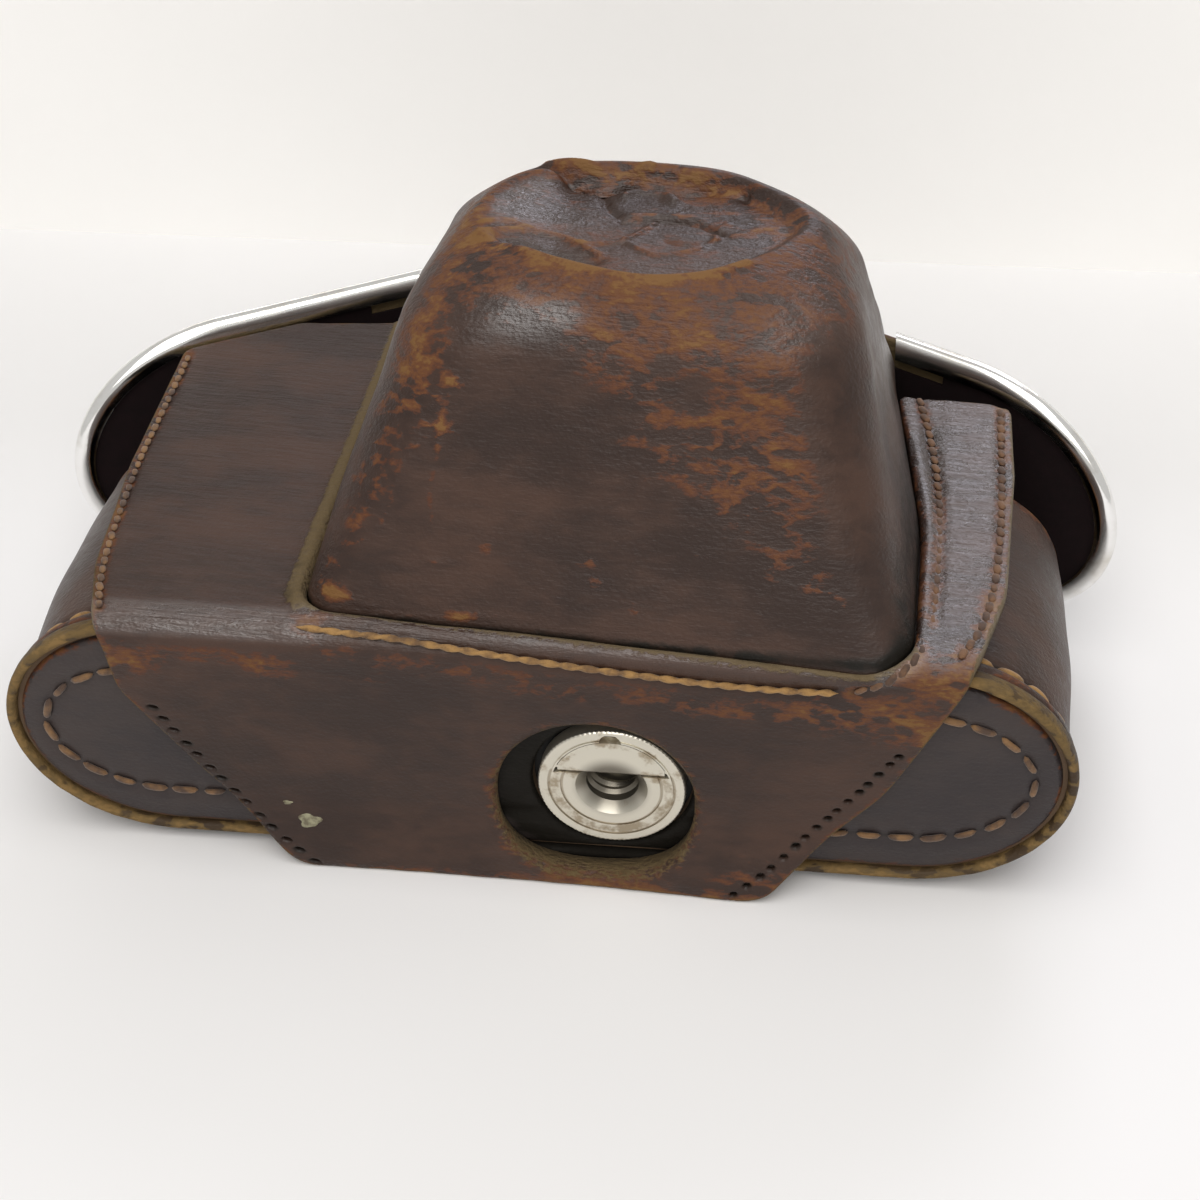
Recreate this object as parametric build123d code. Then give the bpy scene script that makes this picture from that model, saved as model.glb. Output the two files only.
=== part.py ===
from build123d import *
import math
import os

# Leather case for a 35 mm reflex camera, lying on its back with the lens nose up.
# X runs to the right, Y from the case's bottom to its top, Z from its back to its nose.
# While modelling, Y = 0 is the bottom rim's face and Z = 0 the rim's back edge.
# The finished pieces are shifted so that the origin is under the middle of the box,
# on the plane that the case lies on.

# Bottom of the case: an oval with rounded ends, edged by a raised rim
base_length = 160.0
base_depth = 41.4
base_end = 24.0             # how far each rounded end runs along X
rim_width = 1.6
plate_recess = 0.6          # the bottom leather lies this far inside the rim's face
plate_thick = 1.0
plate_groove = 0.7          # open groove between the rim and the bottom leather
board_thick = 1.6

# Walls of the case, set in from the rim
wall_thick = 1.7
wall_inset = 1.3
wall_top = 50.3
wall_lining_top = 49.3
lining_thick = 0.6
window_left = -27.0         # opening in the front wall for the lens
window_right = 48.0
window_bottom = 12.0
window_radius = 9.0
back_rise_half = 62.0       # the back wall rises between these to meet the lid
back_notch_rise = 25.7      # behind the tongue the back wall stops this far above the others
lid_gap = 0.5               # between the fixed leather and the closed lid's edging

# Bottom flap and front panel: one strap of leather that folds round the front edge
strap_thick = 1.6
strap_gap = 0.3             # between the front panel and the rim behind it
fold_radius = 3.6
fold_slit = 0.3             # open joint between the fixed and the moving half of the fold
fold_mitre = 45.0           # the slit's angle, from the panel's side of the fold to the flap's
fold_relief = 2.0           # the rim is rounded over this far past each side of the fold
fold_left = -62.5
fold_right = 62.8
flap_overhang = 1.7         # the flap's end reaches past the rim, and the case lies on it
flap_left_elbow = (-56.6, 23.7)
flap_right_elbow = (52.2, 18.1)
flap_end_left = -36.0
flap_end_right = 35.0
flap_hole_shift_x = -2.4    # the hole is cut this far off the screw's axis
flap_hole_shift_z = -1.8
flap_hole_radius = 14.8
panel_left_low = (-66.4, 14.0)
panel_left_mid = (-68.1, 37.0)
panel_left_x = -68.4
panel_left_shoulder_x = -50.0
panel_left_rise = 30.2      # the panel's top corners, above the walls
panel_inner_rise = 31.7
panel_right_low = (68.0, 16.5)
panel_right_mid = (69.6, 46.0)
panel_right_rise = 14.2
panel_right_inner_rise = 16.0
panel_tuck = 0.3            # between the panel's top edge and the edging above it

# Lens nose: five rounded corners at its root and at its tip
nose_thick = 1.8
nose_root_low_left = (-32.5, 4.6)
nose_root_low_right = (54.6, 3.5)
nose_root_top_left_x = -30.0
nose_root_top_left_drop = 2.5   # that corner lies this far below the roof
nose_root_right_gap = 0.4   # between the nose's root and the end of the right edging
nose_tip_low_left = (-17.5, 21.0)
nose_tip_low_right = (44.0, 19.5)
nose_tip_side_right = (43.5, 43.0)
nose_tip_top_right = (27.0, 58.0)
nose_tip_top_left = (-11.0, 58.0)
nose_reach = 46.1           # from the front panel to the nose's tip
nose_flank = 35.7           # the flanks start to round over this far out
nose_root_radius = 9.0
nose_tip_radius = 14.0
nose_round_steps = ((0.5, 1.3), (0.85, 3.8), (1.0, 7.0))
nose_dish_inset = 8.5
nose_dish_depth = 1.6
nose_dish_floor = 1.6
nose_seam_gap = 0.4         # between the nose and the panel's cut edge
nose_flange_width = 4.0
nose_flange_thick = 1.1
nose_flange_lift = 3.8      # the flange starts above the rim behind it
nose_flange_below_roof = 3.0

# Lid: a leather roof bent over the camera, in two chromed channels
lid_side_gap = 8.3          # the lid reaches this far past the case at each end
lid_front_gap = 2.7         # and this far in front of the panel
lid_end = 25.0
ridge_x = -3.0
ridge_rise = 61.0           # the two slopes of the edging would meet this far above the walls
ridge_slope = 0.58
roof_rise = 48.2            # the roof is cut flat this far above the walls
roof_thick = 1.8
roof_lining_thick = 0.7
edging_wall = 1.0
edging_reach = 3.5
edging_left_end = -32.0
edging_right_end = 51.0
lining_front_gap = 0.4      # between the roof's lining and the nose's flange
lining_side_gap = 4.0       # the lining's cut-out is wider than the flange by this on each side

# Closure on the back: a fixed tongue outside, the lid's skirt inside, one press stud
tongue_thick = 1.6
tongue_overlap = 20.3       # the tongue reaches this far below the wall's front top edge
tongue_radius = 10.0
tongue_side_gap = 0.5
tongue_seat = 6.0           # width of the wall behind each side of the tongue
tongue_top_step = 1.0
stud_x = 9.5
stud_drop = 10.5            # below the top of the roof
stud_cap_bevel = 0.4
stud_cap_radius = 6.0
stud_flange_radius = 4.5
stud_flange_thick = 0.3
stud_stem_radius = 1.5
stud_post_radius = 2.0
stud_post_length = 1.2
stud_play = 0.6             # the socket's spring takes up this play on the real stud
stud_mouth_gap = 0.15
stud_rivet_thick = 0.6
skirt_thick = 1.6
skirt_gap = 2.0             # space between tongue and skirt, filled by the press stud
skirt_depth = 12.0

# Tripod screw, held in a black steel plate under the hole in the flap
screw_x = 12.3
screw_z = 15.7
screw_head_radius = 11.0
screw_head_sink = 1.4       # the head's face lies this far inside the flap's face
screw_head_edge = 0.4
screw_recess_radius = 12.0
screw_plate_radius = 17.0
screw_plate_thick = 1.0
screw_play = 0.3
running_gap = 0.06
boss_radius = 6.2
boss_reach = 1.6            # the boss runs on this far past the retaining ring
retainer_radius = 8.0
retainer_thick = 0.6
shank_radius = 3.175
shank_length = 5.0
socket_radius = 3.97        # inner radius of a 3/8 inch thread
socket_mouth_radius = 5.4
socket_depth = 5.6
ring_groove_radii = (7.5, 9.4)
ring_groove_width = 0.3
ring_groove_depth = 0.2
wing_radius = 8.9
wing_thick = 1.4
wing_gap = 0.1
wing_axis_offset = 3.3      # the wing's pin runs this far above the screw's centre
wing_pin_radius = 0.35
wing_pin_seat = 0.9         # how deep each end of the pin sits in the head
nail_notch_radius = 1.6

# Derived places, as distances along Y
strap_face = -strap_thick
board_face = plate_recess + plate_thick
rim_height = board_face + board_thick
groove_height = roof_thick + roof_lining_thick
edging_half = groove_height / 2 + edging_wall
roof_cap = wall_top + roof_rise
ridge_height = wall_top + ridge_rise
tongue_low = wall_top - tongue_overlap
stud_y = roof_cap - stud_drop
centre_y = (strap_face + roof_cap) / 2
roof_top_offset = edging_half - edging_wall
roof_underside_offset = roof_top_offset - roof_thick
lining_underside_offset = roof_underside_offset - roof_lining_thick
roof_under = roof_cap - roof_thick
beyond = 4 * base_length    # longer than the whole case, for cutting tools

# Derived places along X
lid_half_length = base_length / 2 + lid_side_gap
tongue_left = edging_left_end + tongue_side_gap
tongue_right = edging_right_end - tongue_side_gap
nose_root_right_x = edging_right_end - nose_root_right_gap
flap_hole_x = screw_x + flap_hole_shift_x

# Derived places, as distances along Z
back_plane = -flap_overhang
panel_back = base_depth + strap_gap
panel_front = panel_back + strap_thick
lid_front = panel_front + lid_front_gap
nose_shoulder = panel_front + nose_flank
nose_height = panel_front + nose_reach
fold_z = panel_front - fold_radius
fold_y = strap_face + fold_radius
tongue_back = wall_inset - tongue_thick
skirt_back = wall_inset + skirt_gap
skirt_front = skirt_back + skirt_thick
flange_back = panel_back - nose_flange_thick
flap_hole_z = screw_z + flap_hole_shift_z

# Derived places of the screw
screw_face = strap_face + screw_head_sink
screw_plate_face = rim_height
screw_plate_top = screw_plate_face + screw_plate_thick
head_back = screw_plate_face - screw_play
retainer_low = screw_plate_top + screw_play
boss_end = retainer_low + retainer_thick + boss_reach
wing_axis_y = screw_face + wing_thick / 2
wing_axis_z = screw_z + wing_axis_offset


def along_y(sketch, low, high):
    """Raise a plan outline, drawn as (x, z), from one height of the case to another."""
    return extrude(Plane.XZ.offset(-low) * sketch, amount=high - low, dir=(0, 1, 0))


def along_z(sketch, low, high):
    """Raise a front outline, drawn as (x, y), from one depth of the case to another."""
    return extrude(Plane.XY.offset(low) * sketch, amount=high - low, dir=(0, 0, 1))


def oval(half_length, back, front, end):
    """Plan outline with straight front and back and elliptic ends."""
    half_depth = (front - back) / 2
    middle = (front + back) / 2
    straight = half_length - end
    ends = Locations((-straight, middle), (straight, middle)) * Ellipse(end, half_depth)
    return Pos(0, middle) * Rectangle(2 * straight, 2 * half_depth) + ends


def base_oval(inset):
    """The case's plan, moved in all round."""
    return oval(base_length / 2 - inset, inset, base_depth - inset, base_end - inset)


def lid_oval(inset):
    """The lid's plan, moved in all round."""
    return oval(lid_half_length - inset, back_plane + inset, lid_front - inset, lid_end - inset)


def edging_line(x):
    """Height of the middle of the lid's edging over a place along X."""
    return ridge_height - ridge_slope * abs(x - ridge_x)


def capped_x(height, side):
    """Where a slope, raised or lowered with the roof, reaches a height."""
    return ridge_x + side * (ridge_height - height) / ridge_slope


def slope_band(low, high, cap_low, cap_high, x_low, x_high):
    """Front outline between two lines parallel to the lid's slopes, cut flat at a cap."""
    top = [(x_low, edging_line(x_low) + high)]
    if x_low < ridge_x < x_high:
        top += [(capped_x(cap_high - high, -1), cap_high), (capped_x(cap_high - high, 1), cap_high)]
    top += [(x_high, edging_line(x_high) + high)]
    under = [(x_low, edging_line(x_low) + low)]
    if x_low < ridge_x < x_high:
        under += [(capped_x(cap_low - low, -1), cap_low), (capped_x(cap_low - low, 1), cap_low)]
    under += [(x_high, edging_line(x_high) + low)]
    return Polygon(*(top + under[::-1]), align=None)


def under_roof_outline(drop, x_low, x_high, bottom):
    """Front outline that ends a given drop below the roof's underside."""
    low = roof_underside_offset - drop
    cap = roof_under - drop
    points = [(x_low, bottom), (x_low, min(cap, edging_line(x_low) + low))]
    points += [(x, cap) for x in (capped_x(cap - low, -1), capped_x(cap - low, 1)) if x_low < x < x_high]
    points += [(x_high, min(cap, edging_line(x_high) + low)), (x_high, bottom)]
    return Polygon(*points, align=None)


def rim_welt():
    """Strip of leather set on edge round the bottom, rounded where the strap folds over it."""
    ring = along_y(base_oval(0) - base_oval(rim_width), 0, rim_height)
    length = fold_right - fold_left + 2 * fold_relief
    corner = Box(length, 2 * fold_y, 2 * fold_radius, align=(Align.MIN, Align.MAX, Align.MIN))
    corner = Pos(fold_left - fold_relief, fold_y, fold_z) * corner
    inner_radius = fold_radius - strap_thick - strap_gap
    core = Cylinder(inner_radius, beyond, rotation=(0, 90, 0))
    return ring - (corner - Pos(0, fold_y, fold_z) * core)


def screw_disc(radius, low, high):
    """Disc on the tripod screw's axis, for a hole or a turned part."""
    return along_y(Pos(screw_x, screw_z) * Circle(radius), low, high)


def bottom_plate():
    plate = along_y(base_oval(rim_width + plate_groove), plate_recess, board_face)
    return plate - screw_disc(screw_recess_radius, 0, rim_height)


def bottom_board():
    board = along_y(base_oval(rim_width), board_face, rim_height)
    return board - screw_disc(screw_recess_radius, 0, rim_height)


def lens_window():
    """Opening with a round bottom in the front wall, for the lens."""
    width = window_right - window_left
    height = 2 * wall_top
    outline = RectangleRounded(width, height, window_radius)
    outline = Pos((window_left + window_right) / 2, window_bottom + height / 2) * outline
    return along_z(outline, base_depth / 2, base_depth)


def wall_ring(depth_in, thick, top):
    """A wall that follows the case's plan, a given distance inside the outer wall's face."""
    outer = base_oval(wall_inset + depth_in)
    inner = base_oval(wall_inset + depth_in + thick)
    return along_y(outer - inner, rim_height, top)


def case_wall():
    """Moulded side of the case, higher at the back, open at the front for the lens."""
    wall = wall_ring(0, wall_thick, wall_top) - lens_window()
    drop = lid_gap + edging_half + roof_underside_offset
    rise = under_roof_outline(drop, -back_rise_half, back_rise_half, wall_top - wall_thick)
    notch_width = tongue_right - tongue_left - 2 * tongue_seat
    notch = Pos((tongue_left + tongue_right) / 2, wall_top + back_notch_rise) * Rectangle(
        notch_width, beyond, align=(Align.CENTER, Align.MIN)
    )
    rise = along_z(rise - notch, 0, base_depth / 4)
    return wall + (wall_ring(0, wall_thick, roof_cap) & rise)


def inside_oval():
    """The case's plan inside the wall's lining."""
    return base_oval(wall_inset + wall_thick + lining_thick)


def wall_lining():
    return wall_ring(wall_thick, lining_thick, wall_lining_top) - lens_window()


def bottom_lining():
    lining = along_y(inside_oval(), rim_height, rim_height + lining_thick)
    return lining - screw_disc(screw_plate_radius, rim_height, rim_height + lining_thick)


def fold_half(start, end, x_low, x_high):
    """Piece of the folded strap between two angles, measured down from the panel's side."""
    outline = []
    for radius, order in ((fold_radius, 1), (fold_radius - strap_thick, -1)):
        angles = [math.radians(angle) for angle in (start, (start + end) / 2, end)[::order]]
        outline.append([(radius * math.sin(a), radius * math.cos(a)) for a in angles])
    (outer, inner) = outline
    loop = [ThreePointArc(*outer), Line(outer[2], inner[0]), ThreePointArc(*inner), Line(inner[2], outer[0])]
    face = make_face(loop)
    plane = Plane(origin=(x_high, fold_y, fold_z), x_dir=(0, -1, 0), z_dir=(-1, 0, 0))
    return extrude(plane * face, amount=x_high - x_low)


def bottom_flap():
    """Fixed end of the strap: a tapering flap over the bottom, with a hole for the screw."""
    slit_angle = math.degrees(fold_slit / 2 / fold_radius)
    outline = Polygon(
        (fold_left, fold_z),
        flap_left_elbow,
        (flap_end_left, back_plane),
        (flap_end_right, back_plane),
        flap_right_elbow,
        (fold_right, fold_z),
        align=None,
    )
    outline -= Pos(flap_hole_x, flap_hole_z) * Circle(flap_hole_radius)
    return along_y(outline, strap_face, 0) + fold_half(fold_mitre + slit_angle, 90, fold_left, fold_right)


def screw_plate():
    """Black steel plate on the board, with the hole that the screw turns in."""
    plate = screw_disc(screw_plate_radius, screw_plate_face, screw_plate_top)
    plate &= along_y(inside_oval(), screw_plate_face, screw_plate_top)
    return plate - screw_disc(boss_radius + running_gap, screw_plate_face, screw_plate_top)


def tongue_outline():
    """Outline of the closing tongue on the back, round at its lower corners."""
    drop = tongue_top_step - roof_thick
    shape = under_roof_outline(drop, tongue_left, tongue_right, tongue_low)
    corners = shape.vertices().sort_by(Axis.Y)[:2]
    return fillet(corners, tongue_radius)


def back_tongue():
    """Leather tongue stitched to the back wall, which stands up behind the lid's skirt."""
    tongue = along_z(tongue_outline(), tongue_back, wall_inset)
    return tongue - stud_disc(stud_stem_radius, tongue_back, wall_inset)


def stud_disc(radius, low, high):
    """Round piece on the press stud's axis."""
    return along_z(Pos(stud_x, stud_y) * Circle(radius), low, high)


def snap_cap():
    """Cap on the outside of the tongue, with the stem that holds the socket."""
    cap = stud_disc(stud_cap_radius, back_plane, tongue_back)
    cap = chamfer(cap.edges().group_by(Axis.Z)[0], stud_cap_bevel)
    return cap + stud_disc(stud_stem_radius, tongue_back, wall_inset)


def snap_socket():
    """Socket on the inside of the tongue, open towards the skirt."""
    base = wall_inset + stud_flange_thick
    mouth = skirt_back - stud_flange_thick - stud_mouth_gap
    ring = stud_disc(stud_flange_radius, base, mouth) - stud_disc(stud_post_radius + stud_play, base, mouth)
    return stud_disc(stud_flange_radius, wall_inset, base) + ring


def snap_stud():
    """Post of the press stud, with its flange on the skirt and its stem through it."""
    flange_low = skirt_back - stud_flange_thick
    post = stud_disc(stud_post_radius, flange_low - stud_post_length, flange_low)
    flange = stud_disc(stud_flange_radius, flange_low, skirt_back)
    return post + flange + stud_disc(stud_stem_radius, skirt_back, skirt_front)


def stud_rivet():
    """Closing head of the press stud, inside the skirt."""
    return stud_disc(stud_flange_radius, skirt_front, skirt_front + stud_rivet_thick)


def lid_skirt():
    """Short skirt turned down from the roof's back edge, inside the tongue."""
    whole = under_roof_outline(0, tongue_left, tongue_right, tongue_low)
    outline = whole - under_roof_outline(skirt_depth, tongue_left, tongue_right, tongue_low)
    return along_z(outline, skirt_back, skirt_front) - stud_disc(stud_stem_radius, skirt_back, skirt_front)


def lid_middle_box(low, high, grow):
    """Space between the ends of the two edgings, over a stretch of the lid's depth."""
    left = edging_left_end - grow
    right = edging_right_end + grow
    outline = Pos((left + right) / 2, 0) * Rectangle(right - left, beyond)
    return along_z(outline, low, high)


def lid_roof():
    """Leather roof: two slopes and a flat top, held in the edging at both ends."""
    ends = (-lid_half_length, lid_half_length)
    profile = slope_band(roof_underside_offset, roof_top_offset, roof_under, roof_cap, *ends)
    roof = along_z(profile, back_plane, lid_front) & along_y(lid_oval(edging_wall), 0, ridge_height)
    return roof - lid_middle_box(back_plane, skirt_back, 0)


def lid_lining():
    """Cloth under the roof, held in the edging with it."""
    ends = (-lid_half_length, lid_half_length)
    low_cap = roof_under - roof_lining_thick
    profile = slope_band(lining_underside_offset, roof_underside_offset, low_cap, roof_under, *ends)
    lining = along_z(profile, back_plane, lid_front) & along_y(lid_oval(edging_wall), 0, ridge_height)
    lining -= lid_middle_box(back_plane, skirt_front, 0)
    cut_back = flange_back - lining_front_gap
    return lining - lid_middle_box(cut_back, lid_front, nose_flange_width + lining_side_gap)


def edging(x_low, x_high):
    """Chromed channel that grips the roof and its lining along one end of the lid."""
    profile = slope_band(-edging_half, edging_half, 0, 0, x_low, x_high)
    past_ends = (x_low - edging_wall, x_high + edging_wall)
    slot = slope_band(lining_underside_offset, roof_top_offset, 0, 0, *past_ends)
    ring = along_y(lid_oval(0) - lid_oval(edging_reach), 0, ridge_height)
    band = ring & along_z(profile, back_plane, lid_front)
    return band - (along_y(lid_oval(edging_wall), 0, ridge_height) & along_z(slot, back_plane, lid_front))


def moved_in(corners, inset):
    """Corners of a polygon, listed anticlockwise, with every side moved in by a distance."""
    result = []
    count = len(corners)
    for index in range(count):
        before = Vector(*corners[index - 1])
        here = Vector(*corners[index])
        after = Vector(*corners[(index + 1) % count])
        first = (here - before).normalized()
        second = (after - here).normalized()
        normal_sum = Vector(-first.Y - second.Y, first.X + second.X)
        share = inset / (1 + first.dot(second))
        result.append((here.X + normal_sum.X * share, here.Y + normal_sum.Y * share))
    return result


def nose_corners(depth):
    """Corners of the nose's outline at a depth, between its root and its tip."""
    root = [
        nose_root_low_left,
        nose_root_low_right,
        (nose_root_right_x, edging_line(nose_root_right_x) + roof_underside_offset),
        (capped_x(roof_under - roof_underside_offset, 1), roof_under),
        (nose_root_top_left_x, roof_under - nose_root_top_left_drop),
    ]
    tip = [nose_tip_low_left, nose_tip_low_right, nose_tip_side_right, nose_tip_top_right, nose_tip_top_left]
    share = max(0, (depth - panel_front) / (nose_height - panel_front))
    return [(a[0] + share * (b[0] - a[0]), a[1] + share * (b[1] - a[1])) for a, b in zip(root, tip)]


def nose_outline(depth, inset):
    """Rounded outline of the nose at a depth, moved in by a distance."""
    share = max(0, (depth - panel_front) / (nose_height - panel_front))
    radius = nose_root_radius + share * (nose_tip_radius - nose_root_radius)
    outline = Polygon(*moved_in(nose_corners(depth), inset), align=None)
    return fillet(outline.vertices(), radius - inset)


def nose_body(inset, top_inset, low):
    """Solid nose, moved in from the outer leather by one distance, and by another at its tip."""
    top = nose_height - top_inset
    levels = [(panel_front, 0), (nose_shoulder, 0)]
    for share, round_in in nose_round_steps:
        levels.append((nose_shoulder + share * (top - nose_shoulder), round_in))
    sections = [Plane.XY.offset(depth) * nose_outline(depth, inset + round_in) for depth, round_in in levels]
    cone = loft(sections, ruled=True)
    return along_z(nose_outline(panel_front, inset), low, panel_front) + cone


def nose():
    """Moulded lens nose with a sunken tip, and the flange that is sewn behind the panel."""
    floor = nose_height - nose_dish_depth
    dish = along_z(nose_outline(nose_height, nose_dish_inset), floor, nose_height)
    hollow = nose_body(nose_thick, nose_dish_depth + nose_dish_floor, flange_back)
    shell = nose_body(0, 0, flange_back) - dish - hollow
    wide = Polygon(*moved_in(nose_corners(0), -nose_flange_width), align=None)
    wide = fillet(wide.vertices(), nose_root_radius + nose_flange_width)
    room = under_roof_outline(nose_flange_below_roof, -lid_half_length, lid_half_length, nose_flange_lift)
    flange = along_z((wide & room) - nose_outline(0, nose_thick), flange_back, panel_back)
    return shell + flange


def nose_lining():
    """Thin cloth inside the nose."""
    tip_gap = nose_dish_depth + nose_dish_floor
    outer = nose_body(nose_thick, tip_gap, flange_back)
    return outer - nose_body(nose_thick + lining_thick, tip_gap + lining_thick, flange_back)


def panel_outline():
    """Outline of the front panel above the fold, open at the top where the nose runs to the roof."""
    tuck = edging_half + panel_tuck
    left_top = edging_line(panel_left_x) - tuck
    shoulder = min(wall_top + panel_left_rise, edging_line(panel_left_shoulder_x) - tuck)
    right_x = panel_right_mid[0]
    right_top = min(wall_top + panel_right_rise, edging_line(right_x) - tuck)
    return Polygon(
        (fold_left, fold_y),
        (fold_right, fold_y),
        panel_right_low,
        panel_right_mid,
        (right_x, right_top),
        (nose_root_right_x, wall_top + panel_right_inner_rise),
        (nose_root_top_left_x, wall_top + panel_inner_rise),
        (panel_left_shoulder_x, shoulder),
        (panel_left_x, left_top),
        panel_left_mid,
        panel_left_low,
        align=None,
    )


def nose_hole():
    """The nose's root outline with its seam gap."""
    outline = Polygon(*moved_in(nose_corners(0), -nose_seam_gap), align=None)
    return fillet(outline.vertices(), nose_root_radius + nose_seam_gap)


def front_panel():
    """Moving end of the strap: front leather with a hole for the nose, and half of the fold."""
    slit_angle = math.degrees(fold_slit / 2 / fold_radius)
    sheet = along_z(panel_outline() - nose_hole(), panel_back, panel_front)
    return sheet + fold_half(0, fold_mitre - slit_angle, fold_left, fold_right)


def panel_lining():
    """Cloth behind the front panel, outside the nose's flange and above the rim."""
    wide = Polygon(*moved_in(nose_corners(0), -nose_flange_width - strap_gap), align=None)
    wide = fillet(wide.vertices(), nose_root_radius + nose_flange_width)
    above = Pos(0, nose_flange_lift) * Rectangle(beyond, beyond, align=(Align.CENTER, Align.MIN))
    return along_z((panel_outline() & above) - wide, panel_back - lining_thick, panel_back)


def head_recess(radius, chord, low, high):
    """Segment of a disc on the screw's face, above a straight edge."""
    above = Pos(screw_x, screw_z + chord) * Rectangle(beyond, beyond, align=(Align.CENTER, Align.MIN))
    return along_y((Pos(screw_x, screw_z) * Circle(radius)) & above, low, high)


def pin_rod(radius):
    """Rod on the wing's axis, its ends seated in the screw's head."""
    half_chord = math.sqrt((wing_radius + wing_gap) ** 2 - wing_axis_offset**2)
    length = 2 * (half_chord + wing_pin_seat)
    return Pos(screw_x, wing_axis_y, wing_axis_z) * Cylinder(radius, length, rotation=(0, 90, 0))


def tripod_screw():
    """Screw with a flat head, a threaded socket in the head and a threaded shank behind it."""
    head = screw_disc(screw_head_radius, screw_face, head_back)
    head = fillet(head.edges(), screw_head_edge)
    body = head + screw_disc(boss_radius, head_back, boss_end)
    body += screw_disc(shank_radius, boss_end, boss_end + shank_length)
    body -= screw_disc(socket_radius, screw_face, screw_face + socket_depth)
    mouth_depth = socket_mouth_radius - socket_radius
    mouth = Cone(socket_mouth_radius, socket_radius, mouth_depth, rotation=(-90, 0, 0))
    body -= Pos(screw_x, screw_face + mouth_depth / 2, screw_z) * mouth
    for radius in ring_groove_radii:
        outer = screw_disc(radius + ring_groove_width / 2, screw_face, screw_face + ring_groove_depth)
        body -= outer - screw_disc(radius - ring_groove_width / 2, screw_face, screw_face + ring_groove_depth)
    chord = wing_axis_offset - wing_thick / 2 - wing_gap
    body -= head_recess(wing_radius + wing_gap, chord, screw_face, screw_face + wing_thick + wing_gap)
    notch = Pos(screw_x, screw_z + wing_radius) * Circle(nail_notch_radius)
    body -= along_y(notch, screw_face, screw_face + wing_thick + wing_gap)
    return body - pin_rod(wing_pin_radius)


def screw_retainer():
    """Ring pressed on the boss, which keeps the screw in its plate."""
    ring = screw_disc(retainer_radius, retainer_low, retainer_low + retainer_thick)
    return ring - screw_disc(boss_radius, retainer_low, retainer_low + retainer_thick)


def wing_pin():
    return pin_rod(wing_pin_radius)


def screw_wing():
    """Half-moon wing that folds flat into the head, round along its hinged edge."""
    plate = head_recess(wing_radius, wing_axis_offset, screw_face, screw_face + wing_thick)
    half_width = math.sqrt(wing_radius**2 - (wing_axis_offset + wing_thick / 2) ** 2)
    knuckle = Cylinder(wing_thick / 2, 2 * half_width, rotation=(0, 90, 0))
    middle = Pos(screw_x, wing_axis_y, screw_z) * Box(2 * half_width, 2 * wing_thick, 2 * wing_radius)
    wing = (plate & middle) + Pos(screw_x, wing_axis_y, wing_axis_z) * knuckle
    return wing - pin_rod(wing_pin_radius + running_gap)


parts = {
    "rim_welt": rim_welt(),
    "bottom_plate": bottom_plate(),
    "bottom_board": bottom_board(),
    "case_wall": case_wall(),
    "wall_lining": wall_lining(),
    "bottom_lining": bottom_lining(),
    "bottom_flap": bottom_flap(),
    "screw_plate": screw_plate(),
    "back_tongue": back_tongue(),
    "snap_cap": snap_cap(),
    "snap_socket": snap_socket(),
    "front_panel": front_panel(),
    "panel_lining": panel_lining(),
    "nose": nose(),
    "nose_lining": nose_lining(),
    "lid_roof": lid_roof(),
    "lid_lining": lid_lining(),
    "lid_skirt": lid_skirt(),
    "edging_left": edging(-lid_half_length, edging_left_end),
    "edging_right": edging(edging_right_end, lid_half_length),
    "snap_stud": snap_stud(),
    "stud_rivet": stud_rivet(),
    "tripod_screw": tripod_screw(),
    "screw_retainer": screw_retainer(),
    "wing_pin": wing_pin(),
    "screw_wing": screw_wing(),
}

os.makedirs("parts", exist_ok=True)
for name, solid in parts.items():
    export_step(Pos(0, -centre_y, -back_plane) * solid, f"parts/{name}.step")
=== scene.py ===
import math
import bmesh
import bpy
import numpy as np
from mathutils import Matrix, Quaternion, Vector
from mathutils.geometry import delaunay_2d_cdt


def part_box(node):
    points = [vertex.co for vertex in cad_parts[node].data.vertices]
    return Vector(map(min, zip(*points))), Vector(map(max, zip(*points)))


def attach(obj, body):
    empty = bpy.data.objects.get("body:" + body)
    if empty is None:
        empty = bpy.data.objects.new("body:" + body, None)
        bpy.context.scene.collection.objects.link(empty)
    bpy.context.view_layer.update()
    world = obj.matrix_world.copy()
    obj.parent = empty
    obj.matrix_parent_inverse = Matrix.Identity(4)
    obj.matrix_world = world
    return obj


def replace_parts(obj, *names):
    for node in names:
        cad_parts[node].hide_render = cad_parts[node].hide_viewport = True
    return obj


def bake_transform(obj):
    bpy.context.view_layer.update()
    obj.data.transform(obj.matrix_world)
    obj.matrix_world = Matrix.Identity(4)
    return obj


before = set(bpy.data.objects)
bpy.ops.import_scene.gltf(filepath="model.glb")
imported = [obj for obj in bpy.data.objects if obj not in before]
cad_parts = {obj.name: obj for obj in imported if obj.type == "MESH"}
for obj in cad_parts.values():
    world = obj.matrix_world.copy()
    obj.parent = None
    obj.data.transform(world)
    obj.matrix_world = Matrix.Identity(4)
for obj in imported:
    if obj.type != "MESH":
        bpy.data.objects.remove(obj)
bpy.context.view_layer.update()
bpy.context.scene.view_settings.view_transform = "Standard"

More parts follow.
